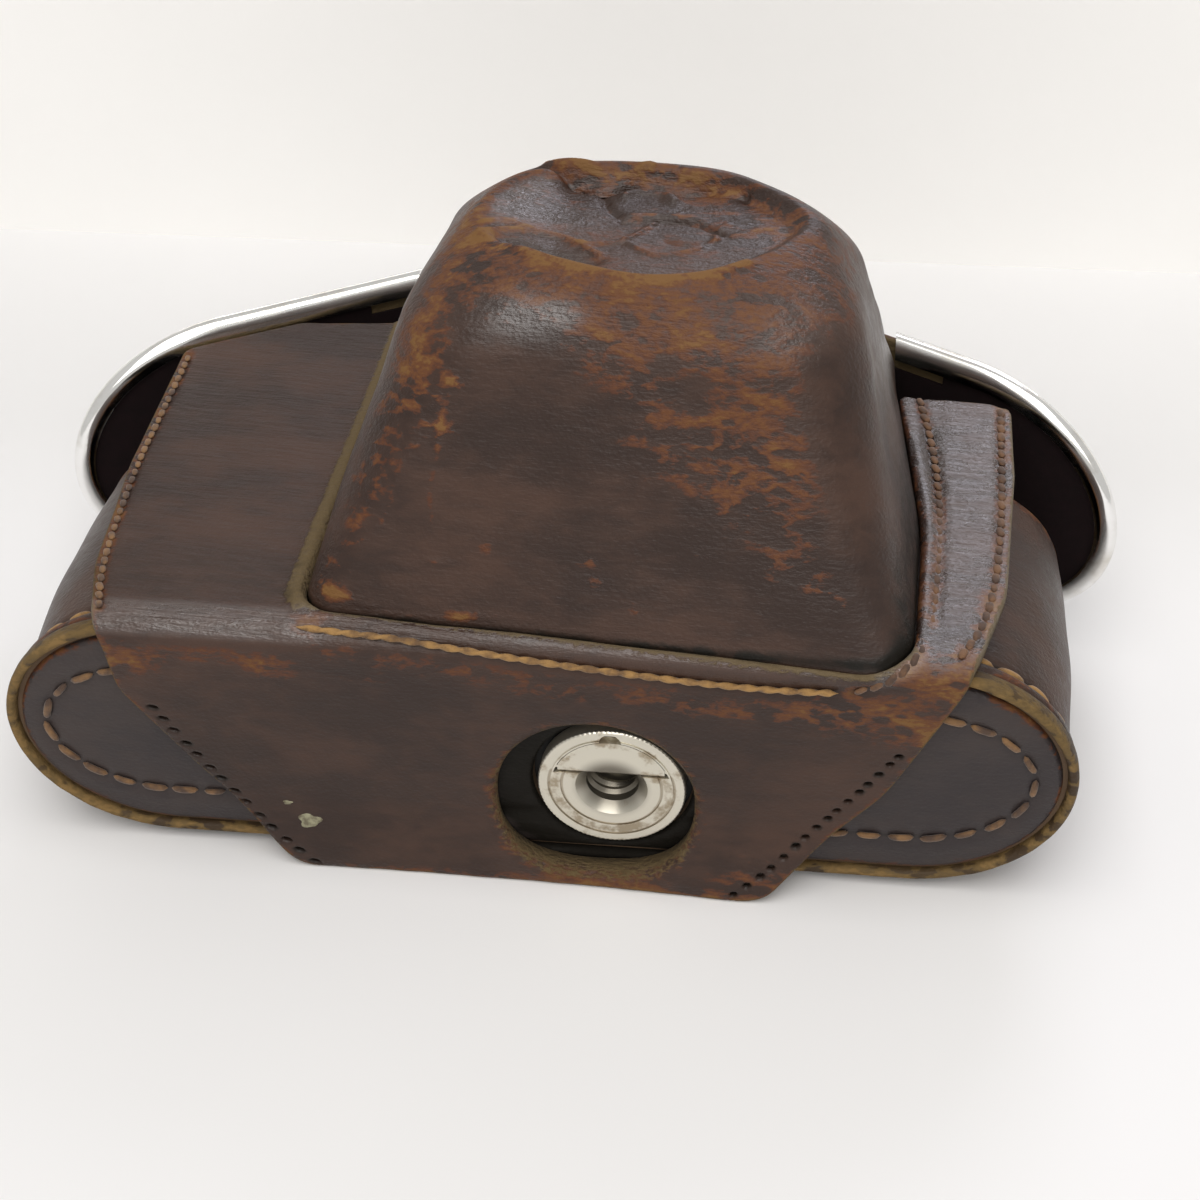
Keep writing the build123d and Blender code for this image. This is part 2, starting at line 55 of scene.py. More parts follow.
# Camera
# A short telephoto view from in front of the case's bottom, a little to its right and from above.
camera_place = Vector((0.0461, -0.28215, 0.2443))
camera_aim = Vector((0.0057, -0.00845, 0.0203))
camera_roll = math.radians(-2.12)
camera = bpy.data.objects.new("camera", bpy.data.cameras.new("camera"))
bpy.context.scene.collection.objects.link(camera)
bpy.context.scene.camera = camera
camera.data.sensor_width = 36
camera.data.lens = 66
camera.data.clip_start = 0.01
camera.location = camera_place
camera.rotation_mode = "QUATERNION"
level_view = (camera_aim - camera_place).to_track_quat("-Z", "Y")
camera.rotation_quaternion = level_view @ Quaternion((0, 0, 1), camera_roll)


# Frame of the case
# Sizes below are in millimetres: x to the right, y up the case from its bottom rim's face,
# z from the rim's back edge towards the lens nose.
mm = 0.001
rim_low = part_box("rim_welt")[0]


def in_frame(places):
    """Case places in millimetres, as metres in the shared frame."""
    return np.asarray(places, float) * mm + np.array([0, rim_low.y, rim_low.z])


def add_mesh(name, places, faces, values=None, flat=False):
    """Piece from places in millimetres, faces and named point values, with its faces turned outwards."""
    mesh = bpy.data.meshes.new(name)
    mesh.from_pydata(in_frame(places).tolist(), [], [list(face) for face in faces])
    for key, numbers in (values or {}).items():
        mesh.attributes.new(key, "FLOAT", "POINT").data.foreach_set("value", np.asarray(numbers, np.float32))
    made = bmesh.new()
    made.from_mesh(mesh)
    bmesh.ops.recalc_face_normals(made, faces=made.faces)
    made.to_mesh(mesh)
    made.free()
    mesh.polygons.foreach_set("use_smooth", np.full(len(mesh.polygons), not flat))
    piece = bpy.data.objects.new(name, mesh)
    bpy.context.scene.collection.objects.link(piece)
    return piece


def grid_faces(rows, columns, closed_rows=False, closed_columns=False):
    """Four-sided faces over a grid of points numbered row by row, joined end to start where closed."""
    row = np.arange(rows if closed_rows else rows - 1)[:, None]
    column = np.arange(columns if closed_columns else columns - 1)[None, :]
    next_row = (row + 1) % rows
    next_column = (column + 1) % columns
    corners = [row * columns + column, row * columns + next_column,
               next_row * columns + next_column, next_row * columns + column]
    return np.stack(corners, -1).reshape(-1, 4)


def capped_faces(rows, columns):
    """Faces of a closed tube: a ring of points in each row, and a cap over the first and the last ring."""
    last = (rows - 1) * columns
    faces = [tuple(face) for face in grid_faces(rows, columns, closed_columns=True)]
    return faces + [tuple(range(columns)), tuple(range(last, last + columns))]


def ripple(places, size, seed, waves=14):
    """Soft unevenness from -1 to 1: the mean of plane waves of about one size, with random directions
    and phases."""
    draw = np.random.default_rng(seed)
    directions = draw.normal(size=(waves, places.shape[-1]))
    directions /= np.linalg.norm(directions, axis=1, keepdims=True)
    lengths = size * draw.uniform(0.7, 1.6, waves)
    phases = draw.uniform(0, 2 * np.pi, waves)
    return np.sin(places @ (directions / lengths[:, None]).T * 2 * np.pi + phases).mean(-1) * 1.6


def step_between(low, high, value):
    """Smooth step from 0 at low to 1 at high."""
    share = np.clip((np.asarray(value, float) - low) / (high - low), 0, 1)
    return share * share * (3 - 2 * share)


# Worn, glazed hide
# Every leather piece shares this finish: a dark glaze over brown hide, rubbed through to ochre where
# it was handled, with raw olive-brown cut edges, painted shade in the hollows, fine grain and shallow
# creases.
def add_node(tree, kind, inputs=(), **settings):
    """Add a shader node, with each input either a value or another node's output."""
    made = tree.nodes.new(kind)
    for key, value in settings.items():
        setattr(made, key, value)
    for key, value in dict(inputs).items():
        if isinstance(value, bpy.types.NodeSocket):
            tree.links.new(value, made.inputs[key])
        else:
            made.inputs[key].default_value = value
    return made


def sums(tree, operation, *values):
    """Result of a math node."""
    return add_node(tree, "ShaderNodeMath", dict(enumerate(values)), operation=operation).outputs[0]


def weighted(tree, *terms):
    """Sum of values, each times its weight."""
    total = 0.0
    for value, weight in terms:
        total = sums(tree, "MULTIPLY_ADD", value, weight, total)
    return total


def noise(tree, place, scale, detail=3.0, roughness=0.55, distortion=0.0):
    """Noise value between 0 and 1."""
    values = {"Vector": place, "Scale": scale, "Detail": detail, "Roughness": roughness}
    return add_node(tree, "ShaderNodeTexNoise", {**values, "Distortion": distortion}).outputs[0]


def ramp(tree, value, low, high, to_low=0.0, to_high=1.0):
    """Smooth step of a value between two limits."""
    values = {"Value": value, "From Min": low, "From Max": high, "To Min": to_low, "To Max": to_high}
    return add_node(tree, "ShaderNodeMapRange", values, interpolation_type="SMOOTHSTEP").outputs[0]


def bumped(tree, shader, height, strength, distance):
    """Raise the shader's surface by a height."""
    bump = add_node(tree, "ShaderNodeBump", {"Strength": strength, "Distance": distance, "Height": height})
    tree.links.new(bump.outputs[0], shader.inputs["Normal"])


def mixed(tree, share, first, second):
    """Two colours mixed."""
    return add_node(tree, "ShaderNodeMix", {0: share, 6: first, 7: second}, data_type="RGBA").outputs[2]


def stretched(tree, place, scale, turn=(0, 0, 0)):
    """Coordinates turned, then scaled by a different amount along each axis."""
    turned = add_node(tree, "ShaderNodeMapping", {"Vector": place, "Rotation": turn}).outputs[0]
    return add_node(tree, "ShaderNodeMapping", {"Vector": turned, "Scale": scale}).outputs[0]


def new_group(name, inputs, outputs):
    """Empty node group with named sockets; returns it with its input and output nodes."""
    group = bpy.data.node_groups.new(name, "ShaderNodeTree")
    for key, (kind, value) in inputs.items():
        socket = group.interface.new_socket(key, in_out="INPUT", socket_type=kind)
        if value is not None:
            socket.default_value = value
    for key, kind in outputs.items():
        group.interface.new_socket(key, in_out="OUTPUT", socket_type=kind)
    return group, group.nodes.new("NodeGroupInput"), group.nodes.new("NodeGroupOutput")


def worn_hide_group():
    """Glaze, brown, rust and ochre by how worn a place is, broken up by blotches of three sizes."""
    colour, number, vector = "NodeSocketColor", "NodeSocketFloat", "NodeSocketVector"
    group, given, result = new_group(
        "worn hide",
        {"Place": (vector, None), "Wear": (number, 0.0), "Edge": (number, 0.0), "Crease": (number, 0.0),
         "Dirt": (number, 0.0), "Polish": (number, 0.0), "Gloss": (number, 0.42),
         "Glaze": (colour, (0.031, 0.0170, 0.0125, 1)), "Thin glaze": (colour, (0.062, 0.032, 0.0215, 1)),
         "Brown": (colour, (0.082, 0.029, 0.0135, 1)), "Rust": (colour, (0.120, 0.044, 0.0145, 1)),
         "Ochre": (colour, (0.172, 0.083, 0.0245, 1)), "Raw edge": (colour, (0.120, 0.083, 0.038, 1))},
        {"Colour": colour, "Roughness": number, "Normal": vector},
    )
    place = given.outputs["Place"]
    drawn = stretched(group, place, (0.5, 1.0, 1.0))
    wide = noise(group, drawn, 75, 3)
    middle = noise(group, drawn, 420, 5, 0.6, 0.4)
    fine = noise(group, drawn, 1700, 3, 0.6)
    spread_wide = ramp(group, wide, 0.38, 0.62, -0.5, 0.5)
    spread_middle = ramp(group, middle, 0.36, 0.64, -0.5, 0.5)
    spread_fine = ramp(group, fine, 0.36, 0.64, -0.5, 0.5)
    mottling = weighted(group, (spread_wide, 0.12), (spread_middle, 0.46), (spread_fine, 0.24))
    amount = sums(group, "MINIMUM", sums(group, "MULTIPLY", given.outputs["Wear"], 3.5), 1.0)
    cells = add_node(group, "ShaderNodeTexVoronoi", {"Vector": drawn, "Scale": 520.0}).outputs[0]
    spots = ramp(group, weighted(group, (cells, 1.0), (spread_wide, 0.35), (spread_middle, 0.22)), 0.46, 0.20)
    unevenness = weighted(group, (mottling, 1.0), (spots, -0.52))
    worn = sums(group, "MULTIPLY_ADD", unevenness, amount, given.outputs["Wear"])
    worn = sums(group, "MINIMUM", worn, 1.0)
    tint = mixed(group, ramp(group, weighted(group, (wide, 0.7), (middle, 0.3)), 0.38, 0.64),
                 given.outputs["Glaze"], given.outputs["Thin glaze"])
    for layer, start, end in (("Brown", 0.20, 0.42), ("Rust", 0.40, 0.66), ("Ochre", 0.64, 0.98)):
        tint = mixed(group, ramp(group, worn, start, end), tint, given.outputs[layer])
    raw = weighted(group, (given.outputs["Edge"], 1.0), (spread_fine, 0.35), (spread_middle, 0.2))
    raw = ramp(group, raw, 0.3, 0.75)
    tint = mixed(group, raw, tint, given.outputs["Raw edge"])
    # Painted shade: hollows, holes, seams and gaps are mixed towards near-black.
    dirt = ramp(group, weighted(group, (given.outputs["Dirt"], 1.0), (spread_middle, 0.25)), 0.25, 0.85)
    tint = mixed(group, dirt, tint, (0.010, 0.0085, 0.0065, 1))
    group.links.new(tint, result.inputs["Colour"])
    rough = weighted(group, (ramp(group, worn, 0.3, 0.9), 0.22), (spread_wide, 0.08), (spread_middle, 0.08),
                     (raw, 0.4), (given.outputs["Polish"], -0.18), (given.outputs["Gloss"], 1.0))
    group.links.new(rough, result.inputs["Roughness"])
    pores = add_node(group, "ShaderNodeTexVoronoi", {"Vector": place, "Scale": 1700.0}).outputs[0]
    creases = noise(group, stretched(group, place, (130, 1250, 1250), (0, 0, 0.08)), 1.0, 4, 0.62, 0.35)
    crease_height = sums(group, "MULTIPLY", given.outputs["Crease"], 3.4)
    height = weighted(group, (pores, 0.25), (fine, 0.7), (creases, crease_height), (worn, 0.55),
                      (raw, sums(group, "MULTIPLY", fine, 2.0)))
    bumped(group, result, height, 0.6, 0.00026)
    return group


worn_hide = worn_hide_group()


def object_place(tree):
    """Place on the object, in metres."""
    return add_node(tree, "ShaderNodeTexCoord").outputs["Object"]


def point_value(tree, name):
    """Named value carried by the mesh's points."""
    return add_node(tree, "ShaderNodeAttribute", attribute_name=name).outputs["Fac"]


def new_material(name, **settings):
    """Material with one Principled shader, whose plain values are set on its own sockets."""
    material = bpy.data.materials.new(name)
    material.use_nodes = True
    shader = material.node_tree.nodes["Principled BSDF"]
    for key, value in settings.items():
        shader.inputs[key.replace("_", " ")].default_value = value
    return material, material.node_tree, shader


def hide_material(name, **colours):
    """Leather, with the worn hide group's own colours unless others are given."""
    material, tree, shader = new_material(name)
    finish = add_node(tree, "ShaderNodeGroup", node_tree=worn_hide)
    for key in ("Wear", "Edge", "Crease", "Dirt", "Polish"):
        tree.links.new(point_value(tree, key.lower()), finish.inputs[key])
    shine = ramp(tree, point_value(tree, "polish"), 0.0, 1.0, 0.30, 1.0)
    # Specular falls where shade is painted.
    clean = ramp(tree, point_value(tree, "dirt"), 0.4, 1.0, 1.0, 0.25)
    shader.inputs["Specular IOR Level"].default_value = 0.4
    tree.links.new(sums(tree, "MULTIPLY", shine, clean), shader.inputs["Specular IOR Level"])
    tree.links.new(object_place(tree), finish.inputs["Place"])
    for key, value in colours.items():
        finish.inputs[key.replace("_", " ")].default_value = value
    for source, target in (("Colour", "Base Color"), ("Roughness", "Roughness"), ("Normal", "Normal")):
        tree.links.new(finish.outputs[source], shader.inputs[target])
    return material


case_leather = hide_material("case leather")


# Strap: bottom flap, fold and front panel
# One piece of 1.6 mm hide, fixed over the bottom, folded round the front edge and running up the
# front round the lens nose. Its fold is the cover's hinge. Edges are cut raw and rubbed round.
strap_thick = 1.6
fold_radius = 3.6
fold_y, fold_z = 2.0, 39.7
fold_length = fold_radius * math.pi / 2


def on_strap(across, along, lift=0.0):
    """Place over the strap's face: along counts from the flap's side of the fold, round its quarter
    circle and up the front; lift is the height over the face."""
    turn = np.clip(along, 0, fold_length) / fold_radius
    y = fold_y - (fold_radius + lift) * np.cos(turn) + np.clip(along - fold_length, 0, None)
    z = fold_z + (fold_radius + lift) * np.sin(turn) + np.clip(along, None, 0)
    return np.stack(np.broadcast_arrays(across, y, z), -1)


def unit(vectors):
    """Vectors of length 1 in the same directions."""
    return vectors / np.linalg.norm(vectors, axis=-1, keepdims=True)


def round_corners(corners, radii, arc_points=9, side_points=12):
    """Outlines with round corners, one for each row of corners: every corner is an arc tangent to its
    two sides, and each side has evenly spread points."""
    here = np.asarray(corners, float)
    radii = np.broadcast_to(np.asarray(radii, float), here.shape[:-1])[..., None]
    to_last = unit(np.roll(here, 1, axis=-2) - here)
    to_next = unit(np.roll(here, -1, axis=-2) - here)
    half = np.arccos(np.clip((to_last * to_next).sum(-1, keepdims=True), -1, 1)) / 2
    centre = here + unit(to_last + to_next) * radii / np.sin(half)
    start = here + to_last * radii / np.tan(half) - centre
    end = here + to_next * radii / np.tan(half) - centre
    sweep = (np.pi - 2 * half)[..., None, :]
    share = np.linspace(0, 1, arc_points)[:, None]
    arcs = np.sin((1 - share) * sweep) * start[..., None, :] + np.sin(share * sweep) * end[..., None, :]
    arcs = arcs / np.maximum(np.sin(sweep), 1e-9) + centre[..., None, :]
    share = np.linspace(0, 1, side_points + 2)[1:-1, None]
    after = np.roll(arcs, -1, axis=-3)[..., :1, :]
    sides = arcs[..., -1:, :] * (1 - share) + after * share
    whole = np.concatenate([arcs, sides], axis=-2)
    return whole.reshape(*here.shape[:-2], -1, 2)


def travelled(line):
    """Distance gone along a line at each of its points."""
    return np.concatenate([[0], np.cumsum(np.linalg.norm(np.diff(line, axis=0), axis=1))])


def along_line(at, far, line):
    """Places on a line at some distances, when far is the distance at each of its points."""
    return np.column_stack([np.interp(at, far, column) for column in line.T])


def spread(outline, step, closed=True):
    """Points about a step apart along an outline."""
    line = np.vstack([outline, outline[:1]]) if closed else np.asarray(outline, float)
    far = travelled(line)
    count = max(8, int(round(far[-1] / step)))
    return along_line(np.linspace(0, far[-1], count, endpoint=not closed), far, line)


def distance_to(points, outline, closed=True):
    """Shortest distance from each point to the sides of an outline."""
    first = outline if closed else outline[:-1]
    side = (np.roll(outline, -1, axis=0) if closed else outline[1:]) - first
    found = []
    for some in np.array_split(points, max(1, len(points) // 2000)):
        offset = some[:, None, :] - first
        share = np.clip((offset * side).sum(-1) / np.maximum((side**2).sum(-1), 1e-12), 0, 1)
        found.append(np.linalg.norm(offset - share[..., None] * side, axis=-1).min(1))
    return np.concatenate(found)


def nearest(points, lines, closed=True):
    """Shortest distance from each point to any of some lines."""
    return np.min([distance_to(points, line, closed) for line in lines], axis=0)


def inside(points, outline):
    """Whether each point lies in an outline: a line to its right crosses the sides an odd number of
    times."""
    first, second = outline, np.roll(outline, -1, axis=0)
    rise = np.where(first[:, 1] == second[:, 1], 1e-12, second[:, 1] - first[:, 1])
    found = []
    for some in np.array_split(points, max(1, len(points) // 2000)):
        x, y = some[:, None, 0], some[:, None, 1]
        crosses = (first[:, 1] > y) != (second[:, 1] > y)
        at = first[:, 0] + (y - first[:, 1]) * (second[:, 0] - first[:, 0]) / rise
        found.append((crosses & (x < at)).sum(1) % 2 == 1)
    return np.concatenate(found)


def in_sheet(points, loops):
    """Whether each point lies in the first loop and in none of the others."""
    keep = inside(points, loops[0])
    for hole in loops[1:]:
        keep &= ~inside(points, hole)
    return keep


def cut_sheet(outlines, step, rim=(0.25, 0.7)):
    """Triangles over a flat sheet whose first outline is its edge and the others its holes: points on
    the outlines, rows a little way in from them, and a staggered grid over the rest."""
    loops = [spread(outline, min(step, 0.8)) for outline in outlines]
    rows = []
    for loop in loops:
        tangent = np.roll(loop, -1, axis=0) - np.roll(loop, 1, axis=0)
        normal = unit(np.column_stack([-tangent[:, 1], tangent[:, 0]]))
        for inset in rim:
            for side in (-1, 1):
                moved = loop + side * inset * normal
                rows.append(moved[distance_to(moved, loop) > 0.9 * inset])
    low, high = loops[0].min(0), loops[0].max(0)
    row_step = step * 0.87
    across, along = np.meshgrid(np.arange(low[0], high[0], step), np.arange(low[1], high[1], row_step))
    across = across + (np.arange(len(across)) % 2 * step / 2)[:, None]
    grid = np.column_stack([across.ravel(), along.ravel()])
    rows.append(grid[nearest(grid, loops) > rim[-1] + 0.45 * step])
    rows = np.vstack(rows)
    rows = rows[in_sheet(rows, loops) & (nearest(rows, loops) > 0.9 * rim[0])]
    starts = np.cumsum([0] + [len(loop) for loop in loops])
    edges = [(a + i, a + (i + 1) % (b - a)) for a, b in zip(starts, starts[1:]) for i in range(b - a)]
    points = np.vstack(loops + [rows])
    made = delaunay_2d_cdt([Vector(p) for p in points.tolist()], edges, [], 0, 1e-6)
    places = np.array([tuple(v) for v in made[0]])
    faces = np.array([face for face in made[2] if len(face) == 3])
    faces = faces[in_sheet(places[faces].mean(1), loops)]
    now = np.empty(len(points), int)
    for new, olds in enumerate(made[3]):
        for old in olds:
            now[old] = new
    rings = [now[np.arange(a, b)] for a, b in zip(starts, starts[1:])]
    return {"places": places, "faces": faces, "rings": rings, "depth": nearest(places, loops)}


def rounded_rim(depth, radius):
    """How far a rounded edge has dropped, by distance in from the edge: a quarter circle."""
    reach = radius - np.clip(depth, 0, radius)
    return radius - np.sqrt(radius**2 - reach**2)


def two_sided(values, face_count, back_count):
    """Point values of a piece with a face and a back: each is given for the face, and once for the back."""
    return {key: np.concatenate([face + np.zeros(face_count), np.full(back_count, back)])
            for key, (face, back) in values.items()}


def leather_sheet(name, cut, surface, thick, lift, values):
    """Closed sheet of leather: a face lifted by given heights, a flat back one thickness under it,
    and sides along every cut."""
    places, count = cut["places"], len(cut["places"])
    everything = np.vstack([surface(places, lift), surface(places, np.full(count, -thick))])
    faces = [tuple(face) for face in cut["faces"]] + [tuple(face[::-1] + count) for face in cut["faces"]]
    for ring in cut["rings"]:
        after = np.roll(ring, -1)
        faces += list(zip(ring, after, after + count, ring + count))
    return add_mesh(name, everything, faces, two_sided(values, count, count))


def blobs(places, spots):
    """Sum of soft patches, each given by its centre, its two half widths and its strength."""
    total = np.zeros(len(places))
    for x, y, wide, high, strength in spots:
        squares = ((places[:, 0] - x) / wide) ** 2, ((places[:, 1] - y) / high) ** 2
        total += strength * np.exp(-squares[0] - squares[1])
    return total


def smooth_line(points, step=0.5):
    """Smooth line through points: cubic pieces whose slope at each point is that of its two neighbours."""
    given = np.asarray(points, float)
    slopes = np.gradient(given, axis=0)
    at = np.linspace(0, len(given) - 1, 24 * len(given))
    index = np.clip(at.astype(int), 0, len(given) - 2)
    t = (at - index)[:, None]
    line = ((1 + 2 * t) * (1 - t) ** 2 * given[index] + t * (1 - t) ** 2 * slopes[index]
            + t**2 * (3 - 2 * t) * given[index + 1] + t**2 * (t - 1) * slopes[index + 1])
    return spread(line, step, closed=False)


def bell(far, width):
    """Bell curve of a distance: 1 at 0, and e to the minus square of distance over width beyond."""
    return np.exp(-(far / width) ** 2)


def stroke(places, points, width, strength):
    """Bell-shaped ridge of a value along a smooth line through points."""
    return strength * bell(distance_to(places, smooth_line(points), closed=False), width)


front = fold_length - fold_y  # along less y, on the panel
strap_corners = [
    (-36.3, -41.4), (35.0, -41.4), (52.6, -21.0), (62.6, -0.5), (68.2, 14.5 + fold_length),
    (69.9, 46 + front), (69.7, 64.3 + front), (51.8, 66.3 + front), (55.9, 34.0), (55.2, 1.4), (-33.0, 7.6),
    (-30.8, 82 + front), (-50.0, 80.9 + front), (-68.4, 70.8 + front), (-68.1, 37 + front),
    (-66.0, 12 + front), (-61.7, -1.0), (-60.6, -9.0), (-51.4, -22.6),
]
strap_radii = [7, 7, 25, 22, 30, 30, 2, 0.8, 80, 7.5, 5.5, 0.8, 6, 3, 60, 30, 16, 8, 40]
nose_cut = round_corners(
    [(-33.0, 7.6), (55.2, 1.4), (55.9, 34.0), (51.6, 72), (51.6, 110), (-30.6, 110)], [5.5, 7.5, 80, 4, 4, 4])
screw_x, screw_z = 12.3, 15.7
flap_hole = np.array([screw_x - 2.4, screw_z - 1.8 - fold_z])
flap_hole_radius = 14.8


def round_place(angle):
    """Point at an angle on a circle of radius 1."""
    return np.column_stack([np.cos(angle), np.sin(angle)])


def awl_slots(line, count, long, short, tilt):
    """Awl holes spread along a line, each a small oval across the strap."""
    turn = np.linspace(0, 2 * np.pi, 12, endpoint=False)
    oval = np.column_stack([long / 2 * np.cos(turn), short / 2 * np.sin(turn) + tilt * np.cos(turn)])
    places = smooth_line(line)
    chosen = places[np.linspace(0, len(places) - 1, count).astype(int)]
    return [place + oval for place in chosen]


awl_holes = awl_slots([(-55.6, -12.3), (-49.4, -22.7), (-41.6, -32.9), (-33.6, -40.2)], 14, 1.7, 0.6, -0.15)
awl_holes += awl_slots([(54.0, -12.9), (47.0, -22.7), (38.3, -33.4), (30.9, -39.9)], 16, 1.2, 0.8, 0.1)
hole_turn = round_place(np.linspace(0, 2 * np.pi, 120, endpoint=False))
worn_half = hole_turn[:, 1:] < 0
squared = np.sign(hole_turn) * np.abs(hole_turn) ** np.where(worn_half, 0.80, 1.0)
squared[:, 1:] *= np.where(worn_half, 0.90, 1.0)
screw_opening = flap_hole + flap_hole_radius * squared
strap_outline = round_corners(strap_corners, strap_radii)
strap_cut = cut_sheet([strap_outline, screw_opening] + awl_holes, 0.75)
strap_places = strap_cut["places"]
strap_x, strap_s = strap_places.T
left_seam = smooth_line([
    (-67.0, 69.0 + front), (-66.8, 50 + front), (-66.6, 37 + front), (-65.2, 18 + front),
    (-63.7, 8.0 + front), (-62.1, 5.6)])
fold_seam = smooth_line([
    (-32.5, 4.0), (-25.5, 3.5), (-18.5, 3.1), (-10, 2.2), (0, 1.2), (11.5, 0.1), (25.5, -1.1), (36.5, -1.6),
    (45.0, -1.5)])
inner_seam = smooth_line([
    (47.0, -1.3), (51.0, 0.5), (54.6, 3.6), (56.6, 8.0), (57.7, 16), (58.4, 30), (58.3, 44), (57.0, 58.0),
    (55.2, 69.0)])
outer_seam = smooth_line([(68.0, 67.4), (67.9, 50), (67.5, 36), (66.4, 22), (64.4, 12), (61.0, 4.6)])
seam_depth = nearest(strap_places, (left_seam, fold_seam, inner_seam, outer_seam), closed=False)
nose_far = distance_to(strap_places, nose_cut)
hole_far = distance_to(strap_places, screw_opening)
edge_far = distance_to(strap_places, strap_outline)
awl_far = nearest(strap_places, awl_holes)


def flare(x, s):
    """How far the flap's free end stands off the bottom, more so on its right."""
    return 2.8 * step_between(-26, -41, s) ** 1.4 * (0.8 + 0.5 * step_between(10, 34, x))


# Relief of the strap's face: rounded edges, the raised lip round the nose, sunken seams and creases.
hole_foot = bell(hole_far, 3.0) * step_between(flap_hole[1] + 4, flap_hole[1] - 12, strap_s)
on_panel = step_between(fold_length, fold_length + 4, strap_s)
crest = bell(nose_far - 1.3, 1.1) * (0.42 + 0.25 * on_panel)
crest *= 1 - step_between(48 + front, 64 + front, strap_s)
strap_lift = -rounded_rim(edge_far, 0.65) - rounded_rim(awl_far, 0.3) - rounded_rim(hole_far, 1.4)
strap_lift += 0.6 * hole_foot
strap_lift += flare(strap_x, strap_s) + crest - 0.38 * bell(seam_depth, 0.8)
strap_lift += 0.18 * ripple(strap_places, 22, 3) + 0.06 * ripple(strap_places, 6, 4)
strap_lift += 0.25 * step_between(57.5, 60, strap_x) * step_between(68.5, 66, strap_x) * on_panel
across_fold = step_between(0.5, 3, strap_s) * step_between(9, 6, strap_s)
fine_folds = ripple(strap_places * [0.13, 1.0], 1.1, 5)
strap_lift += 0.10 * across_fold * fine_folds * step_between(-28, -34, strap_x)
left_welt = step_between(-29, -31, strap_x) * step_between(5.5, 8, strap_s)
left_welt *= step_between(0.2, 0.7, nose_far) * step_between(3.4, 2.6, nose_far)
strap_lift += 0.45 * left_welt

# Its polish, wear, creases, raw edges and darkening, from 0 to about 1.
right_strip = step_between(55, 57, strap_x) * step_between(2, 8, strap_s)
polish = across_fold * (0.30 + 0.90 * step_between(-24, -34, strap_x)) + 0.80 * right_strip
polish += bell(nose_far - 1.3, 1.3) * (0.30 * (strap_x > -29) + 0.6 * (strap_x > 50))
polish = np.clip(polish, 0, 1)
wear = blobs(strap_places, [
    (-59, -3, 5.5, 3.0, 0.70), (-45, -1.5, 9, 1.6, 0.42), (-37, -3.5, 3.2, 2.4, 0.55),
    (-22, -4, 10, 1.5, 0.20), (6, -5.0, 14, 1.5, 0.20), (28, -6.6, 12, 1.6, 0.24), (50, -6.0, 12, 4.0, 0.50),
    (58, -8.5, 4.5, 2.6, 0.6), (59.5, 1.5, 5, 4.5, 0.75), (66, 12, 2.6, 8, 0.55), (-31, 5, 3, 2.5, 0.5),
    (10, -41, 32, 1.6, 0.42), (33, -38, 6, 4, 0.42), (-18, 77, 14, 4, 0.2)])
wear += 0.44 * bell(hole_far, 1.9) + 0.5 * bell(edge_far, 0.8)
below_seam = np.interp(strap_x, fold_seam[:, 0], fold_seam[:, 1]) - strap_s
under_nose = step_between(-40, -26, strap_x) * step_between(58, 50, strap_x)
wear += 0.30 * bell(below_seam - 3.4, 2.1) * under_nose
wear += 0.55 * bell(nearest(strap_places, (left_seam, inner_seam, outer_seam), closed=False), 1.1)
crease = 0.30 + 0.5 * step_between(1.0, 5, strap_s)
crease += blobs(strap_places, [(-46, 5.5, 26, 2.6, 0.9), (62, 40, 6, 32, 0.9), (56, 30, 2, 60, 0.5)])
crease *= step_between(-14, -1, strap_s) * 0.9 + 0.1
crease = np.where(strap_x > 54, np.minimum(crease, 0.62), crease)
strap_edge = 0.85 * left_welt + 0.6 * bell(hole_far, 1.1)
strap_edge += bell(edge_far, 0.38) * (1 - 0.9 * (strap_x > 50) * (nose_far < 1.5))
strap_edge += 0.75 * bell(nose_far - 0.3, 0.9) * (1 - on_panel)
# Painted shade in the sunken seams, in the gap at the nose's root, in the awl holes and round the screw's
# opening; the last line darkens the panel towards its lower left.
strap_darkening = 0.5 * bell(seam_depth, 0.8) * (1 - on_panel) * (strap_x < 50)
strap_darkening += 0.35 * bell(nose_far, 0.8) * step_between(12, 6, strap_s) + 0.6 * bell(awl_far, 0.5)
strap_darkening += 0.30 * bell(hole_far, 0.5)
strap_darkening += 0.40 * on_panel * step_between(32, 14, strap_s) * step_between(-30, -36, strap_x)


def strap_surface(places, lift):
    """Place on the strap over (across, along), raised by a height."""
    return on_strap(places[:, 0], places[:, 1], lift)


strap = leather_sheet(
    "front_strap", strap_cut, strap_surface, strap_thick, strap_lift,
    {"wear": (wear, 0.2), "crease": (crease, 0), "edge": (strap_edge, 1), "dirt": (strap_darkening, 0.3),
     "polish": (polish, 0)})
strap.data.materials.append(case_leather)
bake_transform(strap)
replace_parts(strap, "front_panel", "bottom_flap")


# Dried glue
# Two drops that stand on the flap's left: low domes over outlines with soft lobes.
def glue_drop(name, across, along, wide, high):
    """Closed dome: its height over the flap falls from the middle with the square of the distance."""
    angle = np.linspace(0, 2 * np.pi, 28, endpoint=False)
    lobes = 1 + 0.16 * np.sin(3 * angle + 1) + 0.10 * np.sin(5 * angle)
    share = np.array([0.04, 0.3, 0.55, 0.75, 0.9, 1.0, 1.0])[:, None]
    lift = np.append(0.05 + 0.16 * (1 - share[:-1] ** 2), [[-0.5]], axis=0)
    x = across + wide * share * lobes * np.cos(angle)
    s = along + high * share * lobes * np.sin(angle)
    places = on_strap(x, s, lift + flare(x, s) + 0.18 * ripple(np.stack([x, s], -1), 22, 3))
    drop = add_mesh(name, places.reshape(-1, 3), capped_faces(7, 28))
    drop.data.materials.append(dried_glue)
    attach(drop, "case")


